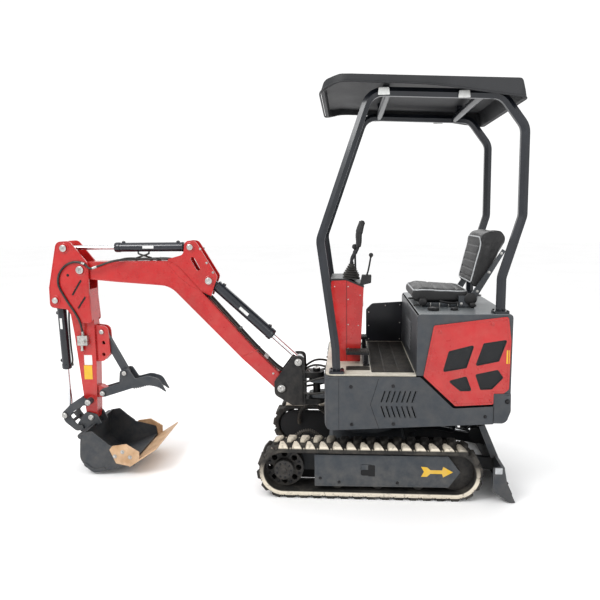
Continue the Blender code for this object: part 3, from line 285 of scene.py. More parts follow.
tan = Surface(
    "tan_wear_steel", (0.42, 0.25, 0.13), (0.62, 0.42, 0.26), 0.48, 0.15, patch=18.0, bump=0.35,
    wear=1.0, worn=(0.62, 0.58, 0.54), dust=(0.35, 0.3, 0.05), earth=(0.50, 0.43, 0.34)
)
yellow = Surface(
    "yellow_film", (0.60, 0.36, 0.010), (0.70, 0.44, 0.02), 0.38, patch=20.0, bump=0.05, coat=0.3,
    dust=(0.30, 0.4, 0.1)
)
film = Surface(
    "pale_film", (0.60, 0.61, 0.60), (0.74, 0.75, 0.74), 0.40, patch=22.0, bump=0.05, coat=0.3,
    dust=(0.12, 0.6, 0.1)
)
# Near black: the colour of dark seams, and painted shade where it stands in for holes and the
# insides of the tracks.
seam_and_painted_shade = Surface(
    "dark_seams_and_painted_shade", (0.008, 0.008, 0.009), (0.014, 0.014, 0.015), 0.75, patch=30.0, bump=0.1
)
piping = Surface(
    "pale_piping", (0.36, 0.37, 0.38), (0.50, 0.51, 0.52), 0.55, patch=40.0, grain=900.0, bump=0.3,
    depth=0.0002
)

vinyl = Surface(
    "seat_vinyl_black", (0.014, 0.014, 0.015), (0.026, 0.026, 0.027), 0.50, patch=9.0, bump=0.25,
    edge=0.0004
)
cells = vinyl.add("TexVoronoi")
cells.feature = "DISTANCE_TO_EDGE"
vinyl.link(vinyl.place, cells.inputs["Vector"])
cells.inputs["Scale"].default_value = 420.0
pebble = vinyl.span(cells.outputs["Distance"], 0.0, 0.25, 0.0, 1.0)
vinyl.link(pebble, vinyl.bump.inputs["Height"])

# Dry earth shows pale on top of the tread, on the outer row of lugs and at the front on both, and
# along the lower half of the belt's outer edge. Behind the front, the inner row of the top run
# stays black where the house's shadow falls, which is painted shade.
tread = Surface(
    "tread_rubber", (0.011, 0.011, 0.011), (0.024, 0.023, 0.022), 0.78, patch=12.0, bump=0.5,
    grain=260.0, edge=0.002
)
height, along = tread.axes["Z"], tread.axes["Y"]
aside = tread.maths("ABSOLUTE", tread.axes["X"], None)
outer_row = tread.times(
    tread.span(aside, 0.374, 0.378, 0.0, 0.95), tread.span(along, 1.12, 1.00, 0.0, 1.0)
)
# Only the outer row and the front take the pale; the rest of the top run is kept black as painted
# shadow of the house.
dust_outside_painted_shadow = tread.maths("MAXIMUM", outer_row, tread.span(along, 0.40, 0.24, 0.0, 0.9))
lug_tops = tread.times(tread.span(
    height, WHEEL_Z + BELT_R + 0.001, WHEEL_Z + BELT_R + 0.008, 0.0, 1.0
), dust_outside_painted_shadow)
past = tread.maths("ABSOLUTE", tread.maths("SUBTRACT", along, None, MID), None)
past = tread.maths("MAXIMUM", tread.maths("SUBTRACT", past, None, WHEEL_Y), None, 0.0)
drop = tread.maths("SUBTRACT", height, None, WHEEL_Z)
reach = tread.maths("SQRT", tread.plus(tread.times(past, past), tread.times(drop, drop)), None)
band = tread.times(
    tread.span(reach, BELT_R + 0.0015, BELT_R, 0.0, 0.95), tread.span(height, 0.20, 0.10, 0.0, 1.0)
)
run_edge = tread.times(band, tread.span(aside, TRACK_OUT - 0.005, TRACK_OUT - 0.0015, 0.0, 1.0))
caked = tread.span(tread.noise(tread.place, 38.0, 6, 0.7), 0.30, 0.46, 0.25, 1.0)
pale = tread.times(tread.plus(lug_tops, run_edge), caked)
film_of_dust = tread.span(tread.noise(tread.place, 9.0, 5, 0.65), 0.45, 0.75, 0.02, 0.30)
tread.recolour(tread.mix(
    pale, tread.mix(film_of_dust, tread.colour, (0.26, 0.23, 0.19)), (0.66, 0.60, 0.50)
))


# --- shading of edges ----------------------------------------------------------------------------
def smoother(name, angle, merge):
    """A node group that smooths every edge flatter than the angle, merging split points first."""
    group = bpy.data.node_groups.new(name, "GeometryNodeTree")
    group.interface.new_socket("Geometry", in_out="INPUT", socket_type="NodeSocketGeometry")
    group.interface.new_socket("Geometry", in_out="OUTPUT", socket_type="NodeSocketGeometry")
    new, link = group.nodes.new, group.links.new
    last = new("NodeGroupInput").outputs[0]
    if merge:
        drop = new("GeometryNodeRemoveAttribute")
        drop.inputs["Name"].default_value = "custom_normal"
        link(last, drop.inputs["Geometry"])
        join = new("GeometryNodeMergeByDistance")
        join.inputs["Distance"].default_value = 2e-5
        link(drop.outputs["Geometry"], join.inputs["Geometry"])
        last = join.outputs["Geometry"]
    faces = new("GeometryNodeSetShadeSmooth")
    link(last, faces.inputs["Geometry"])
    edges = new("GeometryNodeSetShadeSmooth")
    edges.domain = "EDGE"
    edges.inputs["Shade Smooth"].default_value = False
    link(faces.outputs["Geometry"], edges.inputs["Geometry"])
    turn = new("GeometryNodeInputMeshEdgeAngle")
    sharp = new("FunctionNodeCompare")
    sharp.inputs["B"].default_value = math.radians(angle)
    link(turn.outputs["Unsigned Angle"], sharp.inputs["A"])
    link(sharp.outputs["Result"], edges.inputs["Selection"])
    link(edges.outputs["Geometry"], new("NodeGroupOutput").inputs[0])
    return group


CAD_SMOOTH = smoother("smooth_cad", 33, True)
PIECE_SMOOTH = smoother("smooth_piece", 36, False)


def smooth(obj, group):
    """Adds one of the smoothing groups to an object."""
    obj.modifiers.new("smooth", "NODES").node_group = group


FINISH = {
    frame_grey: ("undercarriage",),
    digger_grey: ("bucket", "thumb", "thumb_strut", "rocker", "bucket_link", "blade"),
    cast: (
        "sprocket_left", "sprocket_right", "idler_left", "idler_right", "swing_bracket", "engine"
    ),
    navy: ("blade_barrel", "boom_barrel", "arm_barrel", "bucket_barrel"),
    chrome: ("blade_rod", "boom_rod", "arm_rod", "bucket_rod"),
    panel_grey: ("turntable", "skirt_left", "skirt_right", "counterweight", "seat_base"),
    cover_grey: ("engine_cover",),
    red: ("side_panel_left", "side_panel_right", "console", "boom", "arm"), deck: ("floor_plate",),
    tube_black: ("side_guard", "canopy_frame"), moulded: ("canopy_roof",),
    steel: ("coupling_left", "coupling_right"), black_bolt: ("pedals",),
    rubber: ("track_left", "track_right", "lever_left", "lever_right", "seat_cushion", "seat_back"),
    tan: ("cutting_edges",),
    hose_black: (
        "boom_hoses", "arm_hose_left", "arm_hose_right", "bucket_cylinder_hose",
        "arm_cylinder_hoses", "travel_hose_left", "travel_hose_right",
    )
}
for surface, names in FINISH.items():
    for name in names:
        NODES[name].material_slots[0].material = surface.material
        smooth(NODES[name], CAD_SMOOTH)


# --- making pieces -------------------------------------------------------------------------------
def rounded(corners, steps=3):
    """A closed outline of (y, z, radius) corners, as points."""
    outline = []
    count = len(corners)
    for i, (a, b, radius) in enumerate(corners):
        here = Vector((a, b))
        before = Vector(corners[i - 1][:2]) - here
        after = Vector(corners[(i + 1) % count][:2]) - here
        if radius <= 0:
            outline.append((a, b))
            continue
        angle = before.angle(after)
        reach = min(radius / math.tan(angle / 2), 0.49 * before.length, 0.49 * after.length)
        start, end = here + before.normalized() * reach, here + after.normalized() * reach
        for j in range(steps + 1):
            t = j / steps
            outline.append(tuple((1 - t) ** 2 * start + 2 * t * (1 - t) * here + t * t * end))
    return outline


def rect(a0, b0, a1, b1, radius, steps=3):
    """A rounded rectangle between two corners."""
    return rounded([(a0, b0, radius), (a1, b0, radius), (a1, b1, radius), (a0, b1, radius)], steps)


def around(count, radius, shift=0.5):
    """This many places round a circle, the first one shift of a step on."""
    turns = [2 * math.pi * (i + shift) / count for i in range(count)]
    return [(radius * math.cos(a), radius * math.sin(a)) for a in turns]


def inset(outline, distance):
    """The outline moved inwards by the distance."""
    points = [Vector(p) for p in outline]
    area = sum(a.x * b.y - b.x * a.y for a, b in zip(points, points[1:] + points[:1]))
    sign = 1 if area > 0 else -1
    moved = []
    for before, here, after in zip(points[-1:] + points[:-1], points, points[1:] + points[:1]):
        first, last = (here - before).normalized(), (after - here).normalized()
        normal = Vector((-(first + last).y, (first + last).x)).normalized() * sign
        half = max(0.35, abs(Vector((-first.y, first.x)).dot(normal)))
        moved.append(tuple(here + normal * distance / half))
    return moved


def curve_through(points, step=0.006):
    """Points along a smooth line through these, one every step or so."""
    given = [Vector(p) for p in points]
    given = [2 * given[0] - given[1], *given, 2 * given[-1] - given[-2]]
    line = []
    for a, b, c, d in zip(given, given[1:], given[2:], given[3:]):
        count = max(2, round((c - b).length / step))
        for i in range(count):
            t = i / count
            line.append(0.5 * (
                2 * b + (c - a) * t + (
                    2 * a - 5 * b + 4 * c - d
                ) * t * t + (3 * b - a - 3 * c + d) * t**3
            ))
    return [*line, given[-2]]


def toward(a, b, distance):
    """The (y, z) this far from a on the way to b."""
    a, b = Vector(a), Vector(b)
    return tuple(a + (b - a).normalized() * distance)


MATERIAL_SLOT = {
    red: "red_paint", panel_grey: "dark_paint", cover_grey: "dark_paint", frame_grey: "dark_paint",
    digger_grey: "dark_paint", navy: "dark_paint", yellow: "dark_paint", film: "dark_paint",
    seam_and_painted_shade: "dark_paint", moulded: "roof_plastic", plastic: "roof_plastic",
    rubber: "lever_plastic", hose_black: "hose_rubber", steel: "steel", black_bolt: "steel",
    cast: "cast_iron", piping: "seat_vinyl", tread: "track_rubber"
}


class Piece:
    """Gathers closed shapes of one material on one body, then makes them one object."""

    def __init__(self, name, body, surface, slot=None):
        self.name, self.body, self.surface = name, body, surface
        self.slot = slot or MATERIAL_SLOT[surface]
        self.points, self.faces = [], []

    def shape(self, points, faces):
        first = len(self.points)
        self.points += [tuple(p) for p in points]
        self.faces += [tuple(i + first for i in face) for face in faces]
        return self

    def loops(self, rings, closed=False):
        """Skins a row of equal rings of points, capping both ends unless it closes on itself."""
        count = len(rings[0])
        points = [p for ring in rings for p in ring]
        faces = []
        for i in range(len(rings) - (0 if closed else 1)):
            a, b = i * count, (i + 1) % len(rings) * count
            for j in range(count):
                k = (j + 1) % count
                faces.append((a + j, a + k, b + k, b + j))
        if not closed:
            faces.append(tuple(range(count))[::-1])
            faces.append(tuple(range(len(points) - count, len(points))))
        return self.shape(points, faces)

    def prism(self, outline, x0, x1):
        """An outline of (y, z) points from x0 to x1."""
        return self.loops([[(x, y, z) for y, z in outline] for x in (x0, x1)])

    def slab(self, outline, z0, z1):
        """An outline of (x, y) points from z0 to z1."""
        return self.loops([[(x, y, z) for x, y in outline] for z in (z0, z1)])

    def turned(self, centre, axis, profile, sides=24):
        """A turned shape: its profile is (radius, distance along the axis), end to end."""
        along = Vector(axis).normalized()
        across = along.orthogonal().normalized()
        third = along.cross(across)
        centre = Vector(centre)
        rings = []
        for radius, distance in profile:
            ring = []
            for i in range(sides):
                angle = 2 * math.pi * (i + 0.5) / sides
                side = across * math.cos(angle) + third * math.sin(angle)
                ring.append(centre + along * distance + side * max(radius, 0.0002))
            rings.append(ring)
        return self.loops(rings)

    def tube(self, points, radius, sides=10, closed=False):
        """A round tube along the points; radius is a number or one for each point."""
        points = [Vector(p) for p in points]
        radii = radius if isinstance(radius, list) else [radius] * len(points)
        count = len(points)
        rings = []
        across = None
        for i, point in enumerate(points):
            before = points[i - 1] if i or closed else point
            after = points[(i + 1) % count] if i < count - 1 or closed else point
            along = (after - before).normalized()
            across = along.orthogonal() if across is None else across - along * across.dot(along)
            across.normalize()
            third = along.cross(across)
            rings.append([
                point + (across * math.cos(a) + third * math.sin(a)) * radii[i] for a in (
                    2 * math.pi * j / sides for j in range(sides)
                )
            ])
        return self.loops(rings, closed)

    def bolt(self, centre, axis, size=0.008):
        """A hexagon head on a washer; size is across its corners."""
        self.turned(centre, axis, [(size * 0.72, -0.0006), (size * 0.72, size * 0.12)], 18)
        head = [
            (size * 0.5, size * 0.1), (size * 0.5, size * 0.52), (size * 0.41, size * 0.6),
            (0, size * 0.6)
        ]
        return self.turned(centre, axis, head, 6)

    def rivet(self, centre, axis, size=0.006):
        dome = [
            (size * 0.5, -0.0004), (size * 0.47, size * 0.12), (size * 0.3, size * 0.24),
            (0, size * 0.28)
        ]
        return self.turned(centre, axis, dome, 12)

    def boss(self, side, x, pin, radius, wall, top, bore, chamfer=0.003, sides=28):
        """A turned boss round a pin's bore, on the face at side * x."""
        profile = [
            (radius, -0.002), (radius, wall), (radius - chamfer, top), (bore, top), (bore, 0)
        ]
        return self.turned((side * x, *pin), (side, 0, 0), profile, sides)

    def nut(self, centre, axis, radius=0.0100, height=0.009):
        rings = [(radius, -0.001), (radius, height), (radius - 0.0022, height + 0.002)]
        return self.turned(centre, axis, rings, 6)

    def pin_end(self, pin, x, radius):
        """A chamfered pin end with its ring, on both sides, for a pin across the machine."""
        for side in (1, -1):
            centre = (side * x, *pin)
            collar = [(radius * 1.35, -0.0022), (radius * 1.35, 0.0012), (radius * 1.02, 0.0022)]
            end = [
                (radius, 0.0022), (radius * 0.86, 0.0040), (radius * 0.30, 0.0040),
                (radius * 0.26, 0.0020)
            ]
            self.turned(centre, (side, 0, 0), [*collar, *end, (0, 0.0020)], 20)
        return self

    def both(self):
        """Adds the mirror image of everything so far, on the other side of the machine."""
        points = [(-x, y, z) for x, y, z in self.points]
        return self.shape(points, [face[::-1] for face in self.faces])

    def done(self, bevel=0.0005, between=None):
        """Makes the object, with this bevel, riding on its body, or left on no body when between is
        given.
        """
        mesh = bpy.data.meshes.new(self.name)
        mesh.from_pydata([row(p) for p in self.points], [], self.faces)
        work = bmesh.new()
        work.from_mesh(mesh)
        bmesh.ops.recalc_face_normals(work, faces=work.faces)
        work.to_mesh(mesh)
        work.free()
        obj = bpy.data.objects.new(self.name, mesh)
        scene.collection.objects.link(obj)
        mesh.materials.append(self.surface.material)
        if bevel:
            edge = obj.modifiers.new("edge", "BEVEL")
            edge.width, edge.segments = bevel, 2
            edge.limit_method, edge.angle_limit = "ANGLE", math.radians(40)
        smooth(obj, PIECE_SMOOTH)
        if between:
            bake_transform(obj)
        else:
            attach(obj, self.body)
        return obj


# --- tracks --------------------------------------------------------------------------------------
LOOP = 2 * (2 * WHEEL_Y + math.pi * BELT_R)
PITCH = LOOP / LINKS


def on_loop(distance, lift):
    """The (y, z) this far round the belt's outside, lifted off it."""
    straight, arc = 2 * WHEEL_Y, math.pi * BELT_R
    distance %= LOOP
    reach = BELT_R + lift
    if distance < straight:
        return -WHEEL_Y + distance, WHEEL_Z - reach
    distance -= straight
    if distance < arc:
        angle = distance / BELT_R - math.pi / 2
        return WHEEL_Y + reach * math.cos(angle), WHEEL_Z + reach * math.sin(angle)
    distance -= arc
    if distance < straight:
        return WHEEL_Y - distance, WHEEL_Z + reach
    angle = (distance - straight) / BELT_R + math.pi / 2
    return -WHEEL_Y + reach * math.cos(angle), WHEEL_Z + reach * math.sin(angle)


def on_track(distance, x, lift):
    """The point at x this far round the belt."""
    return (x, *on_loop(distance, lift))


for side, sign in (("left", 1), ("right", -1)):
    track = Piece("tread_" + side, "undercarriage", tread)
    section = [
        (TRACK_IN, -0.004), (TRACK_IN + 0.004, 0), (TRACK_OUT - 0.004, 0), (TRACK_OUT, -0.004),
        (TRACK_OUT, -0.016), (TRACK_OUT - 0.006, -BELT_T), (TRACK_IN + 0.006, -BELT_T),
        (TRACK_IN, -0.016)
    ]
    turns = LINKS * 4
    track.loops([[
        on_track(LOOP * i / turns, sign * x, lift) for x, lift in section
    ] for i in range(turns)], True)
    middle = (TRACK_IN + TRACK_OUT) / 2
    # Each lug is a block that leans back from the belt's edge to its middle.
    foot = [
        (-0.028, 0.0895), (0.028, 0.0895), (0.030, 0.050), (0.026, 0.004), (0.002, 0.004),
        (-0.020, 0.050)
    ]
    top = [
        (-0.018, 0.0865), (0.018, 0.0865), (0.021, 0.050), (0.021, 0.008), (0.006, 0.008),
        (-0.010, 0.050)
    ]
    for link in range(LINKS):
        for half, turn in ((1, 0.47), (-1, 0.97)):
            at = (link + turn) * PITCH
            rings = []
            for outline, lift in ((foot, -0.003), (foot, 0.003), (top, LUG)):
                rings.append([
                    on_track(at + s, sign * (middle + half * x), lift) for s, x in outline
                ])
            track.loops(rings)
            tie = [(-0.006, 0.0895), (0.004, 0.0895), (0.004, 0.070), (-0.006, 0.070)]
            rings = [[
                on_track(at + PITCH / 2 + s, sign * (middle + half * x), lift) for s, x in tie
            ] for lift in (-0.003, 0.0045)]
            track.loops(rings)
    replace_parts(track.done(0.0018), "track_" + side)

hub = Piece("sprocket_caps", "undercarriage", cast)
at = (0.4378, -WHEEL_Y, WHEEL_Z)
hub.turned(at, (1, 0, 0), [
    (0.0545, -0.004), (0.0545, 0.002), (0.050, 0.0045), (0.031, 0.0045), (0.029, 0.0015),
    (0.016, 0.0015), (0.015, 0.006), (0.012, 0.0078), (0, 0.0078)
], 36)
for y in (-WHEEL_Y + 0.2925, 0.050, WHEEL_Y - 0.1925):
    hub.turned((0.4195, y, 0.0726), (1, 0, 0), [
        (0.031, -0.002), (0.031, 0.003), (0.027, 0.006), (0.014, 0.006), (0.013, 0.010), (0, 0.010)
    ], 24)
hub.both().done(0.0007)
bolts = Piece("sprocket_bolts", "undercarriage", black_bolt)
for y, z in around(9, 0.040, 0):
    bolts.bolt((0.4415, -WHEEL_Y + y, WHEEL_Z + z), (1, 0, 0), 0.009)
for y, z in around(8, 0.088):
    bolts.bolt((0.3978, -WHEEL_Y + y, WHEEL_Z + z), (1, 0, 0), 0.012)
for y, z in ((-0.159, 0.091), (0.156, 0.093), (-0.262, 0.112)):
    bolts.bolt((PLATE + 0.0003, y, z), (1, 0, 0), 0.012)
bolts.both()
for x, y in around(20, 0.178):
    bolts.bolt((x, y, 0.3448), (0, 0, 1), 0.012)
bolts.done(0.0003)

# The track frame: two pressed edges and the plate behind the keyhole.
trim = Piece("track_frame_trim", "undercarriage", frame_grey)
trim.prism([
    (-0.288, 0.0665), (0.405, 0.0725), (0.414, 0.080), (-0.288, 0.078)
], PLATE, PLATE + 0.0023)
trim.prism([
    (-0.288, 0.238), (0.405, 0.2395), (0.412, 0.2455), (-0.288, 0.2445)
], PLATE, PLATE + 0.0015)
trim.prism(rounded([
    (-0.0385, 0.1355, 0.003), (0.0155, 0.1355, 0.010), (0.0155, 0.1925, 0.006),
    (-0.0385, 0.1925, 0.003)
], 3), PLATE - 0.0045, PLATE + 0.00015)
trim.both().done(0.0003)
# Dark plates inside the belt, so that no daylight shows through the wheels; their near-black colour
# is painted shade.
back = Piece("track_backs_painted_shade", "undercarriage", seam_and_painted_shade)
for reach, x in ((0.100, 0.296), (0.088, 0.292)):
    back.prism([
        (
            math.copysign(WHEEL_Y, math.cos(a)) + reach * math.cos(a), WHEEL_Z + reach * math.sin(a)
        ) for a in (math.pi * (i + 0.5) / 16 for i in range(32))
    ], x, x + 0.005)
back.both().done(0.001)
# Near-black overlays in the shape of the keyholes: painted shade standing in for the holes.
keyhole_painted_shade = Piece("keyholes_painted_shade", "undercarriage", seam_and_painted_shade)
keyhole_painted_shade.prism(rounded([
    (-0.042, 0.131, 0.014), (-0.001, 0.131, 0.002), (-0.001, 0.127, 0.004), (0.035, 0.127, 0.004),
    (0.035, 0.191, 0.006), (-0.002, 0.191, 0.006), (-0.002, 0.164, 0.002), (-0.042, 0.164, 0.014)
], 4), PLATE - 0.0001, PLATE + 0.0006).both().done(0)

arrow = [
    (0.451, 0.160), (0.399, 0.190), (0.393, 0.170), (0.331, 0.170), (0.313, 0.186), (0.281, 0.188),
    (0.297, 0.160), (0.281, 0.131), (0.313, 0.132), (0.331, 0.149), (0.393, 0.149), (0.399, 0.130)
]
for name, sign in (("left", 1), ("right", -1)):
    mark = Piece("arrow_" + name, "undercarriage", yellow)
    mark.prism(arrow, sign * (PLATE + 0.0004), sign * (PLATE + 0.0010)).done(0)


# --- blade ---------------------------------------------------------------------------------------
blade = Piece("blade_details", "blade", digger_grey)
FACE = WHEEL_Y + 0.2530
blade.prism([
    (FACE + 0.0195, 0.098), (FACE + 0.045, 0.045), (FACE + 0.049, 0.046), (FACE + 0.0245, 0.099)
], -0.455, 0.455)
for x in (0.12, -0.12):
    blade.prism([
        (FACE - 0.070, 0.3655), (FACE - 0.062, 0.3700), (FACE + 0.011, 0.198), (FACE + 0.004, 0.194)
    ], x - 0.009, x + 0.009)
blade.done(0.001)
blade_bolts = Piece("blade_bolts", "blade", black_bolt)
for i in range(6):
    blade_bolts.bolt((-0.375 + 0.15 * i, FACE + 0.0385, 0.0705), (0, 0.9, 0.42), 0.014)
blade_bolts.done(0.0003)
label = Piece("blade_label", "blade", piping, "dark_paint")
label.prism(rect(0.668, 0.196, 0.706, 0.162, 0.003), 0.4652, 0.4657).done(0)
blade_pins = Piece("blade_pins", "blade", steel)
blade_pins.pin_end((0.300, 0.145), 0.2245, 0.0135).done(0.0003)


# --- skirts, counterweight and covers ------------------------------------------------------------
seams = Piece("house_seams", "house", seam_and_painted_shade)
OUT = HOUSE_X + 0.0004  # a seam's dark face


def strip(piece, line, width, x0, x1):
    """A thin strip of this width along a line of (y, z) points."""
    points = [Vector(p) for p in line]
    left, back = [], []
    for i, here in enumerate(points):
        along = (points[min(i + 1, len(points) - 1)] - points[max(i - 1, 0)]).normalized()
        off = Vector((-along.y, along.x)) * width / 2
        left.append(tuple(here + off))
        back.append(tuple(here - off))
    piece.prism(left + back[::-1], x0, x1)


strip(seams, [
    (0.054, 0.683), (0.036, 0.62), (0.011, 0.540), (0.009, 0.530), (0.014, 0.515), (0.056, 0.393)
], 0.0022, HOUSE_X - 0.002, OUT)
strip(seams, [(0.652, 0.530), (0.652, 0.434)], 0.0026, HOUSE_X - 0.003, OUT)
strip(seams, [(-0.160, 0.383), (-0.160, 0.683)], 0.0016, HOUSE_X - 0.002, OUT)
seams.both().done(0)

# Two rows of louvres, leaning opposite ways, and the pressed edges of the skirt.
plates = Piece("skirt_presses", "house", panel_grey)
plates.prism(rounded([
    (-0.236, 0.674, 0), (0.262, 0.674, 0), (0.255, 0.6825, 0), (-0.236, 0.6825, 0)
]), HOUSE_X - 0.002, HOUSE_X + 0.0012)
for low, lean in ((0.545, 1), (0.462, -1)):
    for i in range(7):
        y = 0.0735 + 0.027 * i
        lip = [
            (y + 0.0055 - 0.010 * lean, low - 0.001), (y + 0.0095 - 0.010 * lean, low - 0.001),
            (y + 0.0095 + 0.010 * lean, low + 0.063), (y + 0.0055 + 0.010 * lean, low + 0.063)
        ]
        plates.prism(lip, HOUSE_X - 0.003, HOUSE_X + 0.0022)
plates.prism(rounded([
    (0.655, 0.446, 0.006), (0.722, 0.446, 0.02), (0.738, 0.506, 0.02), (0.736, 0.588, 0.006),
    (0.655, 0.588, 0.006)
]), HOUSE_X - 0.004, HOUSE_X + 0.0010)
plates.both().done(0.0008)

house_bolts = Piece("house_bolts", "house", black_bolt)
for y, z in ((-0.095, 0.628), (-0.091, 0.420), (0.128, 0.634), (0.131, 0.426), (0.610, 0.473)):
    house_bolts.bolt((HOUSE_X, y, z), (1, 0, 0), 0.013)
house_bolts.turned((HOUSE_X, 0.722, 0.557), (1, 0, 0), [
    (0.013, -0.014), (0.013, 0.004), (0.010, 0.009), (0.004, 0.011), (0, 0.011)
], 18)
for y in (0.10, 0.235):
    house_bolts.bolt((0.426, y, 0.705), (0, 0, 1), 0.009)
house_bolts.both()
for x in (-0.30, 0.30):
    house_bolts.bolt((x, 0.7445, 0.545), (0, 1, 0), 0.024)
    for z in (0.665, 0.960):
        house_bolts.bolt((x * 1.32, 0.7378, z), (0, 1, 0), 0.011)
for x in (0.075, 0.025, -0.025, -0.075):
    for z in (0.655, 0.425):
        house_bolts.bolt((x * 4.6, -0.2378, z), (0, -1, 0), 0.011)
# Four bolts hold the foot of each canopy post.
for x in (0.400, -0.400):
    for dx in (-0.029, 0.029):
        for dy in (-0.029, 0.029):
            house_bolts.bolt((x + dx, -0.172 + dy, DECK), (0, 0, 1), 0.009)
            house_bolts.bolt((x + dx, 0.682 + dy, 1.0322), (0, 0, 1), 0.009)
house_bolts.done(0.0003)
panel_bolts = Piece("panel_bolts", "house", red)
for y, z in ((0.365, 0.928), (0.631, 0.969), (0.451, 0.550), (0.635, 0.562)):
    panel_bolts.bolt((HOUSE_X + 0.002, y, z), (1, 0, 0), 0.012)
panel_bolts.both().done(0.0003)

WINDOWS = (
    [(0.413, 0.825, 0.008), (0.384, 0.712, 0.008), (0.507, 0.735, 0.008), (0.545, 0.860, 0.008)],
    [(0.590, 0.868, 0.008), (0.550, 0.745, 0.008), (0.672, 0.772, 0.008), (0.712, 0.888, 0.008)],
    [(0.412, 0.665, 0.008), (0.477, 0.610, 0.008), (0.537, 0.612, 0.008), (0.507, 0.692, 0.008)],
    [
        (0.551, 0.702, 0.008), (0.580, 0.618, 0.008), (0.640, 0.622, 0.008), (0.697, 0.685, 0.008),
        (0.667, 0.728, 0.008)
    ],
)


def clipped(start, end, outline):
    """The part of a line that lies inside a convex outline, or None."""
    start, end = Vector(start), Vector(end)
    area = sum(a[0] * b[1] - b[0] * a[1] for a, b in zip(outline, outline[1:] + outline[:1]))
    low, high = 0.0, 1.0
    for a, b in zip(outline, outline[1:] + outline[:1]):
        a, b = Vector(a), Vector(b)
        normal = Vector((-(b - a).y, (b - a).x)) * (1 if area > 0 else -1)
        gap, slope = (start - a).dot(normal), (end - start).dot(normal)
        if abs(slope) < 1e-12:
            if gap < 0:
                return None
        elif slope > 0:
            low = max(low, -gap / slope)
        else:
            high = min(high, -gap / slope)
    return None if high - low < 0.01 else (start.lerp(end, low), start.lerp(end, high))


MESH_X, MESH_PITCH, WIRE_R = 0.4474, 0.0085, 0.0010
mesh_wire = Piece("panel_mesh", "house", plastic)
rims = Piece("window_rims", "house", plastic)
for window in WINDOWS:
    outline = [c[:2] for c in window]
    middle = sum((Vector(c) for c in outline), Vector((0, 0))) / len(outline)
    for slope in (1, -1):
        for i in range(-22, 23):
            centre = middle + Vector((MESH_PITCH * i, 0))
            reach = Vector((0.16, 0.16 * slope))
            wire = clipped(centre - reach, centre + reach, outline)
            if wire:
                level = MESH_X + WIRE_R / 2 * slope
                mesh_wire.tube([(level, *wire[0]), (level, *wire[1])], WIRE_R, 4)
    edge = rounded(window, 3)
    inner = inset(edge, 0.0045)
    outer = inset(edge, 0.0004)
    rims.loops([[(x, *p) for p in ring] for x, ring in (
        (0.4465, outer), (0.4515, outer), (0.4515, inner), (0.4465, inner)
    )], True)
mesh_wire.both().done(0)
rims.both().done(0.0004)

panel_edge = Piece("panel_flanges", "house", red)
panel = rounded([
    (0.335, 0.960, 0.012), (0.713, 1.008, 0.012), (0.730, 0.880, 0.02), (0.727, 0.622, 0.02),
    (0.700, 0.6005, 0.02), (0.6495, 0.5995, 0.0), (0.6495, 0.5405, 0.008), (0.453, 0.5285, 0.012),
    (0.285, 0.6885, 0.012)
], 3)
first, second = inset(panel, 0.009), inset(panel, 0.013)
panel_edge.loops([[(x, *p) for p in ring] for x, ring in (
    (PANEL_X, first), (PANEL_X + 0.0027, first), (PANEL_X + 0.0027, second), (PANEL_X, second)
)], True)
panel_edge.both().done(0.0008)

for name, sign in (("left", 1), ("right", -1)):
    mark = Piece("panel_label_" + name, "house", yellow)
    mark.prism(
        rect(0.708, 0.760, 0.7245, 0.832, 0.002, 2), sign * (PANEL_X + 0.0016),
        sign * (PANEL_X + 0.0021)
    ).done(0)

# The rear and the front of the engine cover: a door with its latch, hinges and louvres.
door = Piece("cover_door", "house", cover_grey)


def rear_plate(piece, outline, y0, y1):
    piece.loops([[(x, y, z) for x, z in outline] for y in (y0, y1)])


rear_plate(door, rect(-0.360, 0.630, 0.360, 0.990, 0.02), REAR - 0.001, REAR + 0.0022)
for x in (-0.19, 0.19):
    for i in range(9):
        z = 0.685 + 0.026 * i
        points = [(-0.120, 0), (0.120, 0), (0.116, 0.008), (-0.116, 0.008)]
        door.shape(
            [(x + a, REAR + 0.002, z + b) for a, b in points] + [
                (x + a * 0.97, REAR + 0.0095, z + b * 0.35 - 0.004) for a, b in points
            ],
            [(0, 1, 2, 3), (4, 7, 6, 5), (0, 4, 5, 1), (1, 5, 6, 2), (2, 6, 7, 3), (3, 7, 4, 0)],
        )
for x in (-0.36, 0.36):
    for z in (0.70, 0.92):
        door.tube([
            (x * 1.02, REAR + 0.005, z - 0.03), (x * 1.02, REAR + 0.005, z + 0.03)
        ], 0.006, 12)
for i in range(8):
    z = 0.760 + 0.022 * i
    door.loops([[(x, y, h) for y, h in (
        (0.2505, z), (0.2455, z - 0.003), (0.2455, z - 0.0045), (0.2505, z + 0.008)
    )] for x in (-0.15, 0.15)])
door.done(0.0006)
latch = Piece("cover_latch", "house", plastic)
rear_plate(latch, rect(-0.035, 0.800, 0.035, 0.880, 0.008), REAR + 0.001, REAR + 0.008)
latch.turned(
    (0, REAR + 0.007, 0.822), (0, 1, 0), [(0.011, 0), (0.011, 0.003), (0.008, 0.004), (0, 0.004)],
    18
)
rear_plate(latch, rect(-0.026, 0.842, 0.026, 0.870, 0.006), REAR + 0.007, REAR + 0.013)
latch.done(0.0008)
pipe_end = Piece("exhaust_outlet", "house", cast)
pipe_end.turned((-0.295, 0.700, COVER_TOP), (0, 0, 1), [
    (0.036, -0.001), (0.036, 0.003), (0.020, 0.004), (0.018, 0.030), (0.0155, 0.030),
    (0.0155, 0.006), (0, 0.006)
], 24)
pipe_end.done(0.0006)
cap = Piece("filler_cap", "house", plastic)
cap.turned((0.315, 0.350, COVER_TOP), (0, 0, 1), [
    (0.030, -0.001), (0.030, 0.012), (0.026, 0.017), (0.010, 0.018), (0.009, 0.022), (0, 0.022)
], 20)
cap.turned(
    (0.310, 0.462, COVER_TOP), (0, 0, 1),
    [(0.020, -0.001), (0.020, 0.010), (0.017, 0.014), (0, 0.014)], 20
)
cap.done(0.001)

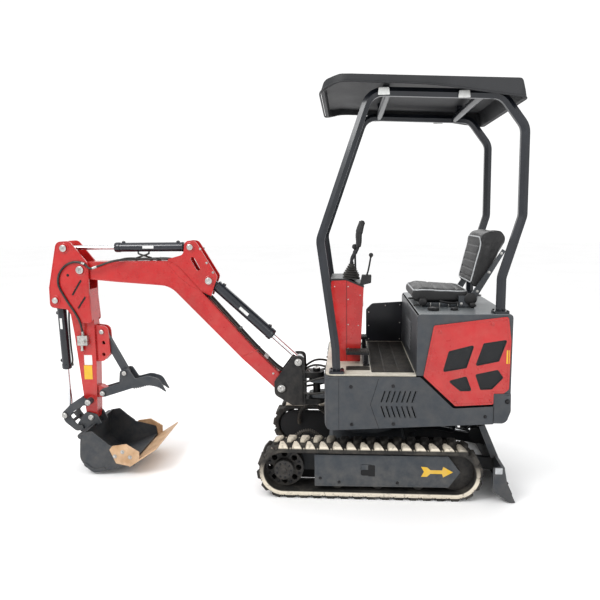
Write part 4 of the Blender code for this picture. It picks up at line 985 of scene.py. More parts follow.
# --- floor, pedals and guard ---------------------------------------------------------------------
MAT_PITCH = 0.0122  # from rib to rib
mat = Piece("floor_mat", "house", rubber)
for area in (
    ((-0.395, 0.016), (0.395, 0.016), (0.395, 0.243), (-0.395, 0.243)),
    ((0.275, -0.120), (0.352, -0.120), (0.352, 0.010), (0.275, 0.010)),
    ((-0.352, -0.120), (-0.275, -0.120), (-0.275, 0.010), (-0.352, 0.010))
):
    mat.slab(rounded([(*p, 0.008) for p in area], 2), FLOOR, FLOOR + 0.0030)
for i in range(64):
    x = -0.384 + MAT_PITCH * i
    for y0, y1 in ((0.024, 0.084), (0.090, 0.160), (0.166, 0.236)):
        if x < 0.39:
            mat.slab([
                (x - 0.0028, y0), (x + 0.0028, y0), (x + 0.0028, y1), (x - 0.0028, y1)
            ], FLOOR + 0.0025, FLOOR + 0.0050)
for side in (1, -1):
    for i in range(6):
        x = side * (0.284 + MAT_PITCH * i)
        mat.slab([
            (x - 0.0028, -0.112), (x + 0.0028, -0.112), (x + 0.0028, 0.004), (x - 0.0028, 0.004)
        ], FLOOR + 0.0025, FLOOR + 0.0050)
mat.done(0.0006)
pads = Piece("pedal_pads", "house", rubber)
pads.slab(rect(0.163, -0.122, 0.257, 0.010, 0.006, 2), 0.7695, 0.7735)
for i in range(9):
    y = -0.112 + 0.014 * i
    pads.slab([(0.170, y), (0.250, y), (0.250, y + 0.006), (0.170, y + 0.006)], 0.773, 0.7765)
pads.both().done(0.0008)
guard = Piece("guard_rivets", "house", steel)
for y, z in (
    (0.030, 0.71), (0.030, 0.89), (0.235, 0.71), (0.235, 0.94), (0.14, 0.935), (0.030, 0.80),
    (0.235, 0.82)
):
    guard.rivet((-0.4195, y, z), (1, 0, 0), 0.009)
    guard.rivet((-0.4265, y, z), (-1, 0, 0), 0.009)
guard.done(0)

# --- console and levers --------------------------------------------------------------------------
console = Piece("console_rivets", "house", steel)
for z in (0.745, 0.770, 0.91, 1.056, 1.13):
    console.rivet((CONSOLE_X, -0.108, z), (1, 0, 0), 0.008)
for y, z in ((-0.056, 0.735), (-0.050, 0.905), (-0.040, 1.08), (-0.185, 1.13), (-0.186, 0.93)):
    console.rivet((CONSOLE_X, y, z), (1, 0, 0), 0.007)
console.both().done(0)
console_seams = Piece("console_seams", "house", seam_and_painted_shade, "red_paint")
strip(console_seams, [(-0.117, 0.700), (-0.117, 1.168)], 0.0022, 0.1490, 0.1504)
console_seams.both().done(0)
top_plate = Piece("console_top", "house", plastic)
top_plate.prism([
    (-0.207, 1.164), (-0.207, 1.1765), (-0.119, 1.1765), (-0.0175, 1.1330), (-0.0185, 1.1235),
    (-0.121, 1.1665)
], -0.1525, 0.1525)
dash = [(-0.0395, 0.905), (-0.0345, 0.995), (-0.0215, 0.996), (-0.0265, 0.905)]
top_plate.prism([(y, z + 0.06) for y, z in dash], -0.085, 0.085)
top_plate.done(0.0022)
dials = Piece("console_dials", "house", steel)
for x, size in ((-0.045, 0.024), (0.0, 0.016), (0.042, 0.012)):
    at = (x, -0.0242, 1.012)
    dials.turned(at, (0, 1, -0.06), [
        (size, -0.002), (size, 0.004), (size * 0.86, 0.005), (size * 0.84, 0.0025), (0, 0.0025)
    ], 24)
dials.done(0.0003)
dial_faces = Piece("console_dial_faces", "house", film, "roof_plastic")
for i in range(11):
    angle = math.radians(225 - 27 * i)
    c, s = math.cos(angle), math.sin(angle)
    dial_faces.loops([[
        (-0.045 + a * c - b * s, -0.0212 + d, 1.012 + a * s + b * c) for a,
        b in ((0.0135, -0.0006), (0.0185, -0.0006), (0.0185, 0.0006), (0.0135, 0.0006))
    ] for d in (0, 0.0004)])
dial_faces.done(0)

# Two main levers with ribbed boots, and three small ones.
boots = Piece("lever_boots", "house", rubber)
stems = Piece("lever_stems", "house", black_bolt)
grips = Piece("lever_grips", "house", plastic)
for x in (0.095, -0.095):
    foot = Vector((x, -0.090, 1.1755))
    profile = [(0.050, -0.004), (0.050, 0.004)]
    for i in range(5):
        z, r = 0.006 + 0.0125 * i, 0.046 - 0.0065 * i
        profile += [
            (r - 0.006, z), (r, z + 0.004), (r - 0.0005, z + 0.0075), (r - 0.0085, z + 0.0110)
        ]
    profile += [(0.0125, 0.072), (0.0105, 0.080), (0, 0.080)]
    boots.turned(foot, (0, 0.05, 1), profile, 28)
    stem = curve_through([
        (x, -0.088, 1.215), (x, -0.088, 1.270), (x, -0.070, 1.310), (x, -0.052, 1.345),
        (x, -0.046, 1.385)
    ], 0.008)
    stems.tube(stem, 0.0075, 12)
    grip = curve_through([
        (x, -0.049, 1.352), (x, -0.046, 1.380), (x, -0.046, 1.420), (x, -0.037, 1.460),
        (x, -0.028, 1.488), (x, -0.025, 1.497)
    ], 0.005)
    share = [i / (len(grip) - 1) for i in range(len(grip))]
    girth = [
        0.0125 + 0.0050 * math.sin(math.pi * min(1, 1.15 * s)) + (
            0.0035 * s if s > 0.55 else 0.0
        ) for s in share
    ]
    girth[0], girth[-1] = 0.010, 0.011
    ribs = [
        g - (0.0009 if 0.12 < s < 0.55 and i % 2 else 0) for i,
        (g, s) in enumerate(zip(girth, share))
    ]
    grips.tube(grip, ribs, 18)
boots.done(0.0005)
for line, step, radius in (
    ([(0.022, -0.060, 1.168), (0.022, -0.066, 1.24), (0.022, -0.069, 1.335)], 0.02, 0.0050),
    ([(-0.022, -0.060, 1.168), (-0.022, -0.064, 1.23), (-0.022, -0.066, 1.300)], 0.02, 0.0050),
    ([
        (0.128, -0.030, 1.14), (0.128, 0.000, 1.200), (0.128, 0.014, 1.262), (0.128, 0.020, 1.300)
    ], 0.01, 0.0048),
):
    stems.tube(curve_through(line, step), radius, 10)
stems.done(0.0003)
for x, y, z, r in (
    (0.022, -0.0695, 1.350, 0.016), (-0.022, -0.0665, 1.315, 0.014), (0.128, 0.0215, 1.308, 0.0125)
):
    ball = [(r * math.sin(a), -r * math.cos(a)) for a in (math.pi * k / 12 for k in range(13))]
    ball[0] = (0.0055, ball[0][1] - 0.004)
    grips.turned((x, y, z), (0, 0, 1), ball, 20)
grips.prism(rounded([
    (-0.040, 1.135, 0.004), (0.022, 1.150, 0.006), (0.024, 1.196, 0.006), (-0.030, 1.196, 0.006)
]), 0.108, 0.147)
for x in (0.095, -0.095):
    grips.turned(
        (x, -0.0235, 1.4975), (0, 0.3, 1),
        [(0.0075, -0.003), (0.0075, 0.003), (0.005, 0.0045), (0, 0.0045)], 14
    )
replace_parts(grips.done(0.0004), "lever_left", "lever_right")

# --- canopy --------------------------------------------------------------------------------------


def roof_top(y):
    return 2.222 - (y + 0.150) * 0.0524


# Ribs pressed in the roof, and a bead round its lip.
roof = Piece("roof_ribs", "house", moulded)
for x in (-0.33, -0.11, 0.11, 0.33):
    ring = rect(x - 0.020, -0.110, x + 0.020, 0.665, 0.02, 4)
    roof.loops([
        [(a, b, roof_top(b) - 0.002) for a, b in ring],
        [(a, b, roof_top(b) + 0.0005) for a, b in ring],
        [(a, b, roof_top(b) + 0.0040) for a, b in inset(ring, 0.006)]
    ])
lip_low = curve_through([
    (-0.254, 2.152), (-0.210, 2.168), (-0.140, 2.184), (0.0, 2.178), (0.300, 2.158), (0.530, 2.122),
    (0.757, 2.085)
], 0.01)


def lip_height(y):
    for a, b in zip(lip_low, lip_low[1:]):
        if a.x <= y <= b.x:
            return a.y + (b.y - a.y) * (y - a.x) / (b.x - a.x)
    return lip_low[0].y if y < lip_low[0].x else lip_low[-1].y


plan = rounded([
    (-ROOF_X, -0.254, 0.16), (ROOF_X, -0.254, 0.16), (ROOF_X, 0.757, 0.05), (-ROOF_X, 0.757, 0.05)
], 10)
rim = []
for a, b in zip(plan, plan[1:] + plan[:1]):
    steps = max(1, round((Vector(b) - Vector(a)).length / 0.03))
    rim += [Vector(a).lerp(Vector(b), i / steps) for i in range(steps)]
roof.tube([(p.x, p.y, lip_height(p.y) + 0.001) for p in rim], 0.0052, 8, True)
roof.done(0.0008)
roof_fix = Piece("roof_fixings", "house", black_bolt)
for x in (0.25, -0.25):
    for y in (0.090, 0.560):
        roof_fix.bolt((x, y, roof_top(y)), (0, 0.05, 1), 0.016)
roof_fix.done(0.0004)
brackets = Piece("roof_brackets", "house", film, "post_paint")
for y, z in ((0.069, 2.140), (0.464, 2.116)):
    brackets.prism(rounded([
        (y - 0.030, z - 0.014, 0.004), (y + 0.030, z - 0.014, 0.004), (y + 0.026, z + 0.022, 0.004),
        (y - 0.026, z + 0.022, 0.004)
    ], 2), 0.430, 0.434)
brackets.both().done(0.0006)

# --- seat ----------------------------------------------------------------------------------------
def stuffed(name, node, scale, cap, voxel=0.0075):
    """A copy of a plain cushion solid, remeshed and swollen by cloth under pressure."""
    source = NODES[node].data
    mesh = bpy.data.meshes.new(name)
    mesh.from_pydata([v.co for v in source.vertices], [], [p.vertices for p in source.polygons])
    work = bmesh.new()
    work.from_mesh(mesh)
    bmesh.ops.remove_doubles(work, verts=work.verts, dist=2e-5)
    centre = sum((v.co for v in work.verts), Vector()) / len(work.verts)
    for v in work.verts:
        v.co = centre + Vector(a * b for a, b in zip(v.co - centre, scale))
    work.to_mesh(mesh)
    work.free()
    obj = bpy.data.objects.new(name, mesh)
    scene.collection.objects.link(obj)
    remesh = obj.modifiers.new("remesh", "REMESH")
    remesh.mode, remesh.voxel_size = "VOXEL", voxel
    settle = obj.modifiers.new("settle", "SMOOTH")
    settle.factor, settle.iterations = 0.5, 6
    bake(obj)
    start = coordinates(obj.data)
    cloth = obj.modifiers.new("swell", "CLOTH")
    cloth.settings.quality = 6
    cloth.settings.use_pressure = True
    cloth.settings.uniform_pressure_force = 4.0
    cloth.settings.effector_weights.gravity = 0.0
    cloth.point_cache.frame_start, cloth.point_cache.frame_end = 1, 20
    for step in range(1, 21):
        scene.frame_set(step)
    view = bpy.context.evaluated_depsgraph_get()
    moved = coordinates(obj.evaluated_get(view).data) - start
    obj.modifiers.remove(cloth)
    scene.frame_set(1)
    length = np.linalg.norm(moved, axis=1, keepdims=True)
    moved *= np.minimum(1.0, cap / np.maximum(length, 1e-9))
    obj.data.vertices.foreach_set("co", (start + moved).astype(np.float32).ravel())
    fine = obj.modifiers.new("fine", "SUBSURF")
    fine.levels = fine.render_levels = 1
    bake(obj)
    obj.data.materials.clear()
    obj.data.materials.append(vinyl.material)
    obj.data.polygons.foreach_set("use_smooth", [True] * len(obj.data.polygons))
    return obj


def bake(obj):
    """Applies every modifier."""
    view = bpy.context.evaluated_depsgraph_get()
    mesh = bpy.data.meshes.new_from_object(obj.evaluated_get(view))
    obj.modifiers.clear()
    obj.data = mesh


def coordinates(mesh):
    found = np.empty(len(mesh.vertices) * 3, np.float32)
    mesh.vertices.foreach_get("co", found)
    return found.reshape(-1, 3).astype(float)


def piped(name, pad, line, radius=0.0042):
    """Piping sewn on the pad's surface along a closed line of points."""
    tree = BVHTree.FromObject(pad, bpy.context.evaluated_depsgraph_get())
    cord = Piece(name, "house", piping)
    path = []
    for point in line:
        spot, normal, _, _ = tree.find_nearest(row(point))
        spot = spot + normal * radius * 0.35
        path.append((spot.x, spot.y - MID, spot.z))
    for _ in range(3):
        path = [
            tuple((Vector(a) + 2 * Vector(b) + Vector(c)) / 4) for a, b,
            c in zip(path[-1:] + path[:-1], path, path[1:] + path[:1])
        ]
    cord.tube(path, radius, 8, True)
    return cord.done(0)


def closed_line(corners, step=0.012):
    """Points along a closed outline, one every step or so."""
    line = []
    for a, b in zip(corners, corners[1:] + corners[:1]):
        steps = max(1, round((Vector(b) - Vector(a)).length / step))
        line += [tuple(Vector(a).lerp(Vector(b), i / steps)) for i in range(steps)]
    return line


def sewn(pad, ahead, start, run, levels, crown, depth, dip=0.0, dip_at=0.0):
    """Crowns the face of a pad that looks ahead, and sinks sewn lines this far along run."""
    co = coordinates(pad.data)
    ahead, run = np.array(ahead), np.array(run)
    along = (co - np.array(start)) @ run
    normals = np.array([v.normal for v in pad.data.vertices])
    facing = np.clip((normals @ ahead) * 2 - 0.6, 0, 1)
    sides = np.abs(co[:, 0]) / 0.2
    rise = facing * (crown * (1 - sides**2) - dip * np.exp(-(((along - dip_at) / 0.12) ** 2)))
    for level in levels:
        rise -= depth * np.exp(-(((along - level) / 0.0055) ** 2)) * facing * (sides < 0.80)
    co += np.outer(rise, ahead)
    pad.data.vertices.foreach_set("co", co.astype(np.float32).ravel())


cushion = stuffed("seat_cushion_pad", "seat_cushion", (0.955, 0.965, 0.86), 0.008)
sewn(
    cushion, (0, 0, 1), (0, MID, 0), (0, 1, 0), (0.315, 0.375, 0.435, 0.495), 0.007, 0.0052, 0.004,
    0.42
)
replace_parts(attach(cushion, "house"), "seat_cushion")
piped(
    "seat_cushion_piping", cushion,
    closed_line([(x, y, 1.116) for x, y in rect(-0.188, 0.252, 0.188, 0.560, 0.03, 5)])
)

back = stuffed("seat_back_pad", "seat_back", (0.955, 0.90, 0.975), 0.008)
BACK_LOW, BACK_HIGH = Vector((0.562, 1.128)), Vector((0.640, 1.420))
lean = (BACK_HIGH - BACK_LOW).normalized()
sewn(
    back, (0, -lean.y, lean.x), row((0, *BACK_LOW)), (0, *lean),
    (0.055, 0.100, 0.145, 0.190, 0.235), 0.006, 0.0055
)
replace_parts(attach(back, "house"), "seat_back")
piped("seat_back_piping", back, closed_line([
    (x, BACK_LOW.x + lean.x * s - 0.012, BACK_LOW.y + lean.y * s) for x,
    s in rounded([
        (-0.182, 0.022, 0.03), (0.182, 0.022, 0.03), (0.182, 0.285, 0.05), (-0.182, 0.285, 0.05)
    ], 5)
]))

seat = Piece("seat_fittings", "house", plastic)
for side in (1, -1):
    seat.turned(
        (side * 0.2195, 0.565, 1.068), (side, 0, 0),
        [(0.034, -0.002), (0.034, 0.004), (0.026, 0.007), (0.010, 0.008), (0, 0.008)], 24
    )
seat.turned((0.206, 0.305, 1.052), (1, 0, 0), [
    (0.010, -0.03), (0.010, 0.004), (0.022, 0.006), (0.024, 0.016), (0.018, 0.022), (0, 0.023)
], 20)
seat.turned((0.219, 0.572, 1.036), (1, 0, 0), [
    (0.006, -0.02), (0.006, 0.008), (0.016, 0.010), (0.017, 0.020), (0.012, 0.026), (0, 0.027)
], 16)
seat.tube(curve_through([
    (0.2235, 0.500, 1.050), (0.2235, 0.470, 1.046), (0.2255, 0.430, 1.050), (0.2255, 0.395, 1.058)
], 0.01), 0.0065, 10)
seat.done(0.0007)
seat_steel = Piece("seat_bolts", "house", steel)
for y, z in ((0.515, 1.040), (0.572, 1.052), (0.600, 1.110), (0.660, 1.215), (0.722, 1.318)):
    seat_steel.bolt((0.2182, y, z), (1, 0, 0), 0.011)
for i in range(5):
    seat_steel.tube([
        (0.199, 0.300 + 0.05 * i, 1.0225), (0.199, 0.300 + 0.05 * i, 1.0445)
    ], 0.0035, 8)
seat_steel.both().done(0.0003)
rails = Piece("seat_rails", "house", cast, "dark_paint")
section = ((-0.012, 0), (0.012, 0), (0.012, 0.006), (-0.012, 0.006))
rails.loops([[(0.150 + a, y, COVER_TOP + b) for a, b in section] for y in (0.262, 0.610)])
rails.both().done(0.0006)

# --- working arm: pins as (y, z) -----------------------------------------------------------------
FOOT, BOOM_EYE, BOOM_BASE = (-0.509, 0.505), (-0.405, 0.668), (-0.938, 1.155)
ARM_BASE, ELBOW, ARM_EYE = (-1.045, 1.357), (-1.718, 1.226), (-1.813, 1.357)
BUCKET_BASE, ROCKER_PIN, KNEE = (-1.884, 1.041), (-1.713, 0.406), (-1.866, 0.322)
TIP, THUMB_PIN = (-1.712, 0.300), (-1.634, 0.452)
STRUT_TOP, STRUT_LOW = (-1.625, 0.839), (-1.489, 0.582)
PINS = {
    "boom": ((FOOT, 0.0815, 0.0175), (ELBOW, 0.0795, 0.0175)),
    "swing_bracket": ((BOOM_EYE, 0.0835, 0.0165),), "boom_barrel": ((BOOM_BASE, 0.0580, 0.0155),),
    "arm_barrel": ((ARM_BASE, 0.0580, 0.0135),),
    "arm": (
        (ARM_EYE, 0.0795, 0.0155), (THUMB_PIN, 0.0520, 0.0115), (STRUT_TOP, 0.0340, 0.0105),
        (STRUT_LOW, 0.0500, 0.0105)
    ),
    "bucket_barrel": ((BUCKET_BASE, 0.0795, 0.0135),),
    "rocker": ((ROCKER_PIN, 0.0925, 0.0135), (KNEE, 0.0945, 0.0135)),
    "bucket": ((TIP, 0.0595, 0.0135),)
}
for body, pins in PINS.items():
    ends = Piece("pins_" + body, body, steel)
    for pin, x, radius in pins:
        ends.pin_end(pin, x, radius)
    ends.done(0.0003)

# --- swing bracket -------------------------------------------------------------------------------
king = Piece("king_pin_cap", "swing_bracket", steel)
king.turned((0, -0.300, 0.6150), (0, 0, 1), [
    (0.0205, -0.002), (0.0205, 0.002), (0.017, 0.004), (0.006, 0.004), (0.0055, 0.008),
    (0.0035, 0.011), (0, 0.011)
], 20)
king.bolt((0.0, -0.352, 0.5980), (0, 0, 1), 0.013)
for x in (0.030, -0.030):
    king.bolt((x, -0.345, 0.5980), (0, 0, 1), 0.011)
king.done(0.0003)
webs = Piece("bracket_ribs", "swing_bracket", cast)
for x in (1, -1):
    face = x * 0.0734
    webs.boss(x, 0.0734, FOOT, 0.034, 0.0012, 0.0035, 0.0182, 0.004)
    rib = [
        (-0.378, 0.420), (-0.388, 0.420), (-0.388, 0.590), (-0.396, 0.640), (-0.388, 0.642),
        (-0.378, 0.592)
    ]
    webs.prism(rib, face - x * 0.001, face + x * 0.0045)
webs.done(0.0012)

# --- boom ----------------------------------------------------------------------------------------
boom_side = rounded([
    (ELBOW[0] - 0.048, ELBOW[1] + 0.048, 0.044), (-1.150, 1.276, 0.14), (-0.665, 0.732, 0),
    (-0.480, 0.546, 0.040), (-0.500, 0.452, 0.036), (-0.744, 0.678, 0), (-1.175, 1.125, 0.14),
    (-1.494, 1.150, 0), (ELBOW[0] - 0.048, ELBOW[1] - 0.050, 0.044)
], 6,)
beads = Piece("boom_flanges", "boom", red)
line = inset(boom_side, 0.0065)
low, high = [(BOOM_FACE, *p) for p in line], [(-BOOM_FACE, *p) for p in line]
beads.tube(low, 0.0016, 6, True)
beads.tube(high, 0.0016, 6, True)
for side in (1, -1):
    beads.tube([
        (side * 0.0500, -0.752, 0.690), (side * 0.0500, -0.700, 0.716),
        (side * 0.0500, -0.650, 0.737)
    ], 0.0024, 6)
    for pin, size in ((FOOT, 0.036), (ELBOW, 0.040)):
        beads.boss(side, BOOM_FACE, pin, size, 0.0012, 0.0022, 0.0182)
    weld = [(-0.928, 1.066), (-1.050, 1.123), (-1.120, 1.180), (-1.190, 1.262)]
    beads.tube([(side * BOOM_FACE, *p) for p in weld], 0.0018, 6)
    for pin, size, bore in ((BOOM_BASE, 0.030, 0.0162), (ARM_BASE, 0.028, 0.0142)):
        beads.boss(side, EYE_FACE, pin, size, 0.0025, 0.0035, bore, sides=24)
beads.done(0.0004)
boom_bolts = Piece("boom_bolts", "boom", steel)
for y, z in ((-0.985, 1.345), (-0.948, 1.262), (-0.912, 1.205)):
    boom_bolts.bolt((EYE_FACE, y, z), (1, 0, 0), 0.010)
for y, z in ((-0.560, 0.590), (-0.548, 0.525)):
    boom_bolts.bolt((0.0500, y, z), (1, 0, 0), 0.009)
boom_bolts.both()
for x, y in ((-0.0075, -1.302), (0.0075, -1.388)):
    boom_bolts.turned((x, y, 1.2750), (0, 0, 1), [
        (0.0095, -0.001), (0.0095, 0.0035), (0.0075, 0.0050), (0, 0.0050)
    ], 6)
boom_bolts.done(0.0004)

# --- arm, thumb and bucket -----------------------------------------------------------------------
cheek = rounded([
    (-1.860, 1.396, 0.036), (-1.778, 1.400, 0.036), (-1.668, 1.262, 0.030), (-1.672, 1.060, 0),
    (-1.662, 0.900, 0.02), (-1.760, 0.900, 0.04), (-1.815, 0.985, 0.02), (-1.922, 0.998, 0.026),
    (-1.921, 1.118, 0.05)
], 5,)
arm_red = Piece("arm_plates", "arm", red)
for side in (1, -1):
    for pin, size, bore in (
        (ELBOW, 0.038, 0.0182), (BUCKET_BASE, 0.030, 0.0142), (ARM_EYE, 0.032, 0.0162)
    ):
        arm_red.boss(side, CHEEK, pin, size, 0.002, 0.0032, bore)
    arm_red.tube([(side * CHEEK, *p) for p in inset(cheek, 0.006)], 0.0015, 6, True)
    arm_red.tube([(side * 0.0402, -1.664, z) for z in (0.885, 0.78, 0.66)], 0.0016, 6)
    for pin, size in ((TIP, 0.026), (ROCKER_PIN, 0.025)):
        arm_red.boss(side, ARM_FACE, pin, size, 0.0022, 0.0030, 0.0142, 0.002, 24)
arm_red.done(0.0004)
ARM_SLOTS = (((-1.776, 1.074), (-1.718, 1.163)), ((-1.745, 0.991), (-1.697, 1.061)))
# Near-black strips and a disc on the cheeks: painted shade standing in for the slots and a round
# hole.
slot_painted_shade = Piece("arm_slots_painted_shade", "arm", seam_and_painted_shade, "red_paint")
for side in (1, -1):
    for a, b in ARM_SLOTS:
        strip(slot_painted_shade, [a, b], 0.011, side * (CHEEK - 0.002), side * (CHEEK + 0.0004))
    slot_painted_shade.turned(
        (side * CHEEK, -1.798, 1.194), (side, 0, 0),
        [(0.0085, -0.002), (0.0085, 0.0004), (0, 0.0004)], 16
    )
slot_painted_shade.done(0)
rims_arm = Piece("arm_slot_rims", "arm", red)
for side in (1, -1):
    for a, b in ARM_SLOTS:
        a, b = Vector(a), Vector(b)
        run = (b - a).normalized()
        off = Vector((-run.y, run.x)) * 0.0062
        ring = rounded([
            (*(a - run * 0.004 + off), 0.006), (*(b + run * 0.004 + off), 0.006),
            (*(b + run * 0.004 - off), 0.006), (*(a - run * 0.004 - off), 0.006)
        ], 3)
        rims_arm.tube([(side * (CHEEK + 0.0002), *p) for p in ring], 0.0012, 6, True)
rims_arm.done(0)
for name, surface, corners in (
    ("arm_label_pale", film, [(-1.741, 0.632), (-1.690, 0.632), (-1.690, 0.695), (-1.741, 0.695)]),
    ("arm_label_yellow", yellow, [
        (-1.746, 0.540), (-1.694, 0.540), (-1.694, 0.629), (-1.746, 0.629)
    ]),
):
    mark = Piece(name, "arm", surface, "red_paint")
    mark.prism(rounded([(*c, 0.002) for c in corners], 2), 0.0398, 0.0404).done(0)
coupling = Piece("coupling_fittings", "arm", steel)
for z in (0.776, 0.804):
    coupling.bolt((0.070, -1.752, z), (1, 0, 0), 0.010)
coupling.turned(
    (0.0790, -1.718, 0.785), (1, 0, 0),
    [(0.0075, -0.002), (0.0075, 0.008), (0.006, 0.010), (0, 0.010)], 6
)
coupling.turned(
    (0.0560, -1.742, 0.728), (0, 0, -1),
    [(0.0095, -0.006), (0.0095, 0.003), (0.0060, 0.005), (0, 0.005)], 6
)
coupling.both().done(0.0005)

# The thumb has a row of small teeth along its lower edge.
teeth = Piece("thumb_teeth", "arm", digger_grey)
low_line = curve_through([
    (-1.452, 0.4835), (-1.400, 0.492), (-1.345, 0.5065), (-1.300, 0.502), (-1.262, 0.486)
], 0.012)
for side in (1, -1):
    for a, b in zip(low_line[1:-1], low_line[2:]):
        middle = (a + b) / 2
        down = Vector(((b - a).y, -(b - a).x)).normalized() * 0.0065
        teeth.prism([
            tuple(a - down * 0.6), tuple(b - down * 0.6), tuple(middle + down)
        ], side * 0.0305, side * 0.0415)
    for y0, z0, y1, z1 in ((-1.60, 0.478, -1.52, 0.500), (-1.508, 0.560, -1.505, 0.530)):
        strip(teeth, [(y0, z0), (y1, z1)], 0.0025, side * 0.0415, side * 0.0430)
teeth.done(0.0006)

shell = Piece("bucket_plates", "bucket", digger_grey)
for side in (1, -1):
    face = side * 0.225
    wear = rounded([
        (-1.700, 0.060, 0.03), (-1.640, 0.0125, 0.04), (-1.560, 0.0285, 0.02),
        (-1.565, 0.048, 0.01), (-1.638, 0.036, 0.04), (-1.690, 0.078, 0.02)
    ], 4)
    shell.prism(wear, face - side * 0.001, face + side * 0.004)
    rim_line = [(-1.640, 0.262), (-1.700, 0.250), (-1.708, 0.205)]
    shell.tube([(face, *p) for p in curve_through(rim_line, 0.01)], 0.0022, 6)
    shell.tube([(face, -1.636, 0.266), (face, -1.590, 0.226), (face, -1.537, 0.186)], 0.0030, 6)
shell.done(0.0008)
bucket_bolts = Piece("bucket_bolts", "bucket", steel)
for y, z in ((-1.500, 0.122), (-1.452, 0.150), (-1.408, 0.118)):
    bucket_bolts.bolt((0.2350, y, z), (1, 0, 0), 0.017)
bucket_bolts.both().done(0.0004)

# --- cylinders -----------------------------------------------------------------------------------
LABEL_STEPS = 5
for name, base, eye, radius, rod, first, last, high_side in (
    ("boom", BOOM_BASE, BOOM_EYE, 0.034, 0.016, 0.050, 0.505, 1),
    ("arm", ARM_BASE, ARM_EYE, 0.028, 0.0135, 0.052, 0.473, 1),
    ("bucket", BUCKET_BASE, KNEE, 0.0275, 0.0135, 0.055, 0.442, -1),
    ("blade", (0.252, 0.290), (FACE - 0.080, 0.225), 0.024, 0.012, 0.038, 0.285, 1),
):
    body = name + "_barrel"
    along = (Vector(eye) - Vector(base)).normalized()
    axis = (0, along.x, along.y)
    out = Vector((-along.y, along.x))
    out = out if out.y * high_side > 0 or abs(out.y) < 0.2 and out.x * high_side > 0 else -out
    gland = Piece(name + "_gland", body, navy)
    at = (0, *toward(base, eye, last))
    gland.turned(at, axis, [
        (radius - 0.002, -0.034), (radius + 0.0022, -0.032), (radius + 0.0022, -0.006),
        (radius - 0.001, -0.0005), (rod + 0.0050, 0.0008), (rod + 0.0015, 0.0008),
        (rod + 0.0015, -0.004)
    ], 28)
    gland.turned((0, *toward(base, eye, first)), axis, [
        (radius - 0.001, -0.003), (radius + 0.0016, -0.0015), (radius + 0.0016, 0.008),
        (radius - 0.001, 0.011)
    ], 28)
    for spot in (first + 0.032, last - 0.052):
        centre = (0, *toward(base, eye, spot))
        gland.turned(centre, (0, out.x, out.y), [
            (0.011, radius - 0.006), (0.011, radius + 0.006), (0.009, radius + 0.0075),
            (0, radius + 0.0075)
        ], 16)
    gland.done(0.0005)
    seal = Piece(name + "_wiper", body, rubber)
    seal.turned(at, axis, [
        (rod + 0.0042, -0.001), (rod + 0.0042, 0.0022), (rod + 0.0016, 0.0034),
        (rod + 0.0011, 0.0034), (rod + 0.0011, -0.001)
    ], 24)
    seal.done(0)
    nuts = Piece(name + "_ports", body, steel)
    for spot in (first + 0.032, last - 0.052):
        centre = (0, *toward(base, eye, spot))
        nuts.turned(centre, (0, out.x, out.y), [
            (0.0080, radius + 0.006), (0.0080, radius + 0.0105), (0.0055, radius + 0.0118),
            (0, radius + 0.0118)
        ], 6)
    nuts.done(0.0004)
    if name != "blade":
        mark = Piece(name + "_label", body, film)
        span = 0.5 if name != "bucket" else 0.25
        middle = first + (last - first) * span
        for side in (1, -1):
            rings = []
            for distance in (middle - 0.034, middle + 0.034):
                arc = []
                for reach in (0.0002, 0.0006):
                    for i in range(LABEL_STEPS + 1):
                        angle = (i / LABEL_STEPS - 0.5) * 0.55
                        angle = angle if reach < 0.0004 else -angle
                        r = radius + reach
                        point = Vector(toward(base, eye, distance)) + out * (r * math.sin(angle))
                        arc.append((side * r * math.cos(angle), *point))
                rings.append(arc)
            mark.loops(rings)
        mark.done(0)

# --- hoses ---------------------------------------------------------------------------------------


def ferrule(piece, start, end, radius=0.0088):
    """A crimped sleeve from start to end."""
    start, end = Vector(start), Vector(end)
    length = (end - start).length
    profile = [(radius * 0.8, 0), (radius, 0.002)]
    for i in range(4):
        z = 0.004 + (length - 0.010) * i / 4
        profile += [
            (radius, z), (radius * 0.93, z + 0.001), (radius * 0.93, z + 0.002), (radius, z + 0.003)
        ]
    profile += [(radius, length - 0.003), (radius * 0.85, length)]
    piece.turned(start, end - start, profile, 14)


for side, sign in (("left", 1), ("right", -1)):
    loop = Piece("elbow_hose_" + side, "boom", hose_black)
    loop.tube(curve_through([
        (sign * 0.0795, -1.6385, 1.2365), (sign * 0.0793, -1.6500, 1.2352),
        (sign * 0.0780, -1.6640, 1.2410), (sign * 0.0758, -1.6760, 1.2530),
        (sign * 0.0744, -1.6865, 1.2616)
    ], 0.003), HOSE_R, 12)
    loop.done(0, between=("arm", (0, -1.642, 1.237), (0, -1.683, 1.259)))
    loop = Piece("foot_hose_" + side, "swing_bracket", hose_black)
    loop.tube(curve_through([
        (sign * 0.030, -0.3935, 0.560), (sign * 0.029, -0.415, 0.561),
        (sign * 0.026, -0.450, 0.570), (sign * 0.024, -0.495, 0.594), (sign * 0.024, -0.545, 0.628),
        (sign * 0.024, -0.594, 0.6750)
    ], 0.005), HOSE_R, 12)
    loop.done(0, between=("boom", (0, -0.410, 0.561), (0, -0.590, 0.671)))
    for number, points in enumerate((
        [
            (0.084, -0.168, 0.610), (0.084, -0.200, 0.618), (0.078, -0.250, 0.645),
            (0.064, -0.310, 0.648), (0.045, -0.362, 0.622), (0.040, -0.378, 0.594)
        ],
        [
            (0.106, -0.168, 0.580), (0.108, -0.205, 0.582), (0.106, -0.262, 0.580),
            (0.094, -0.330, 0.560), (0.072, -0.372, 0.545), (0.0590, -0.380, 0.540)
        ],
        [
            (0.104, -0.168, 0.520), (0.106, -0.205, 0.508), (0.104, -0.262, 0.490),
            (0.092, -0.330, 0.480), (0.072, -0.372, 0.478), (0.0590, -0.380, 0.478)
        ],
    )):
        loop = Piece(f"swing_hose_{side}_{number + 1}", "house", hose_black)
        loop.tube(curve_through([(sign * x, y, z) for x, y, z in points], 0.006), HOSE_R, 12)
        loop.done(0, between=("swing_bracket", (0, -0.225, 0.56), (0, -0.362, 0.56)))

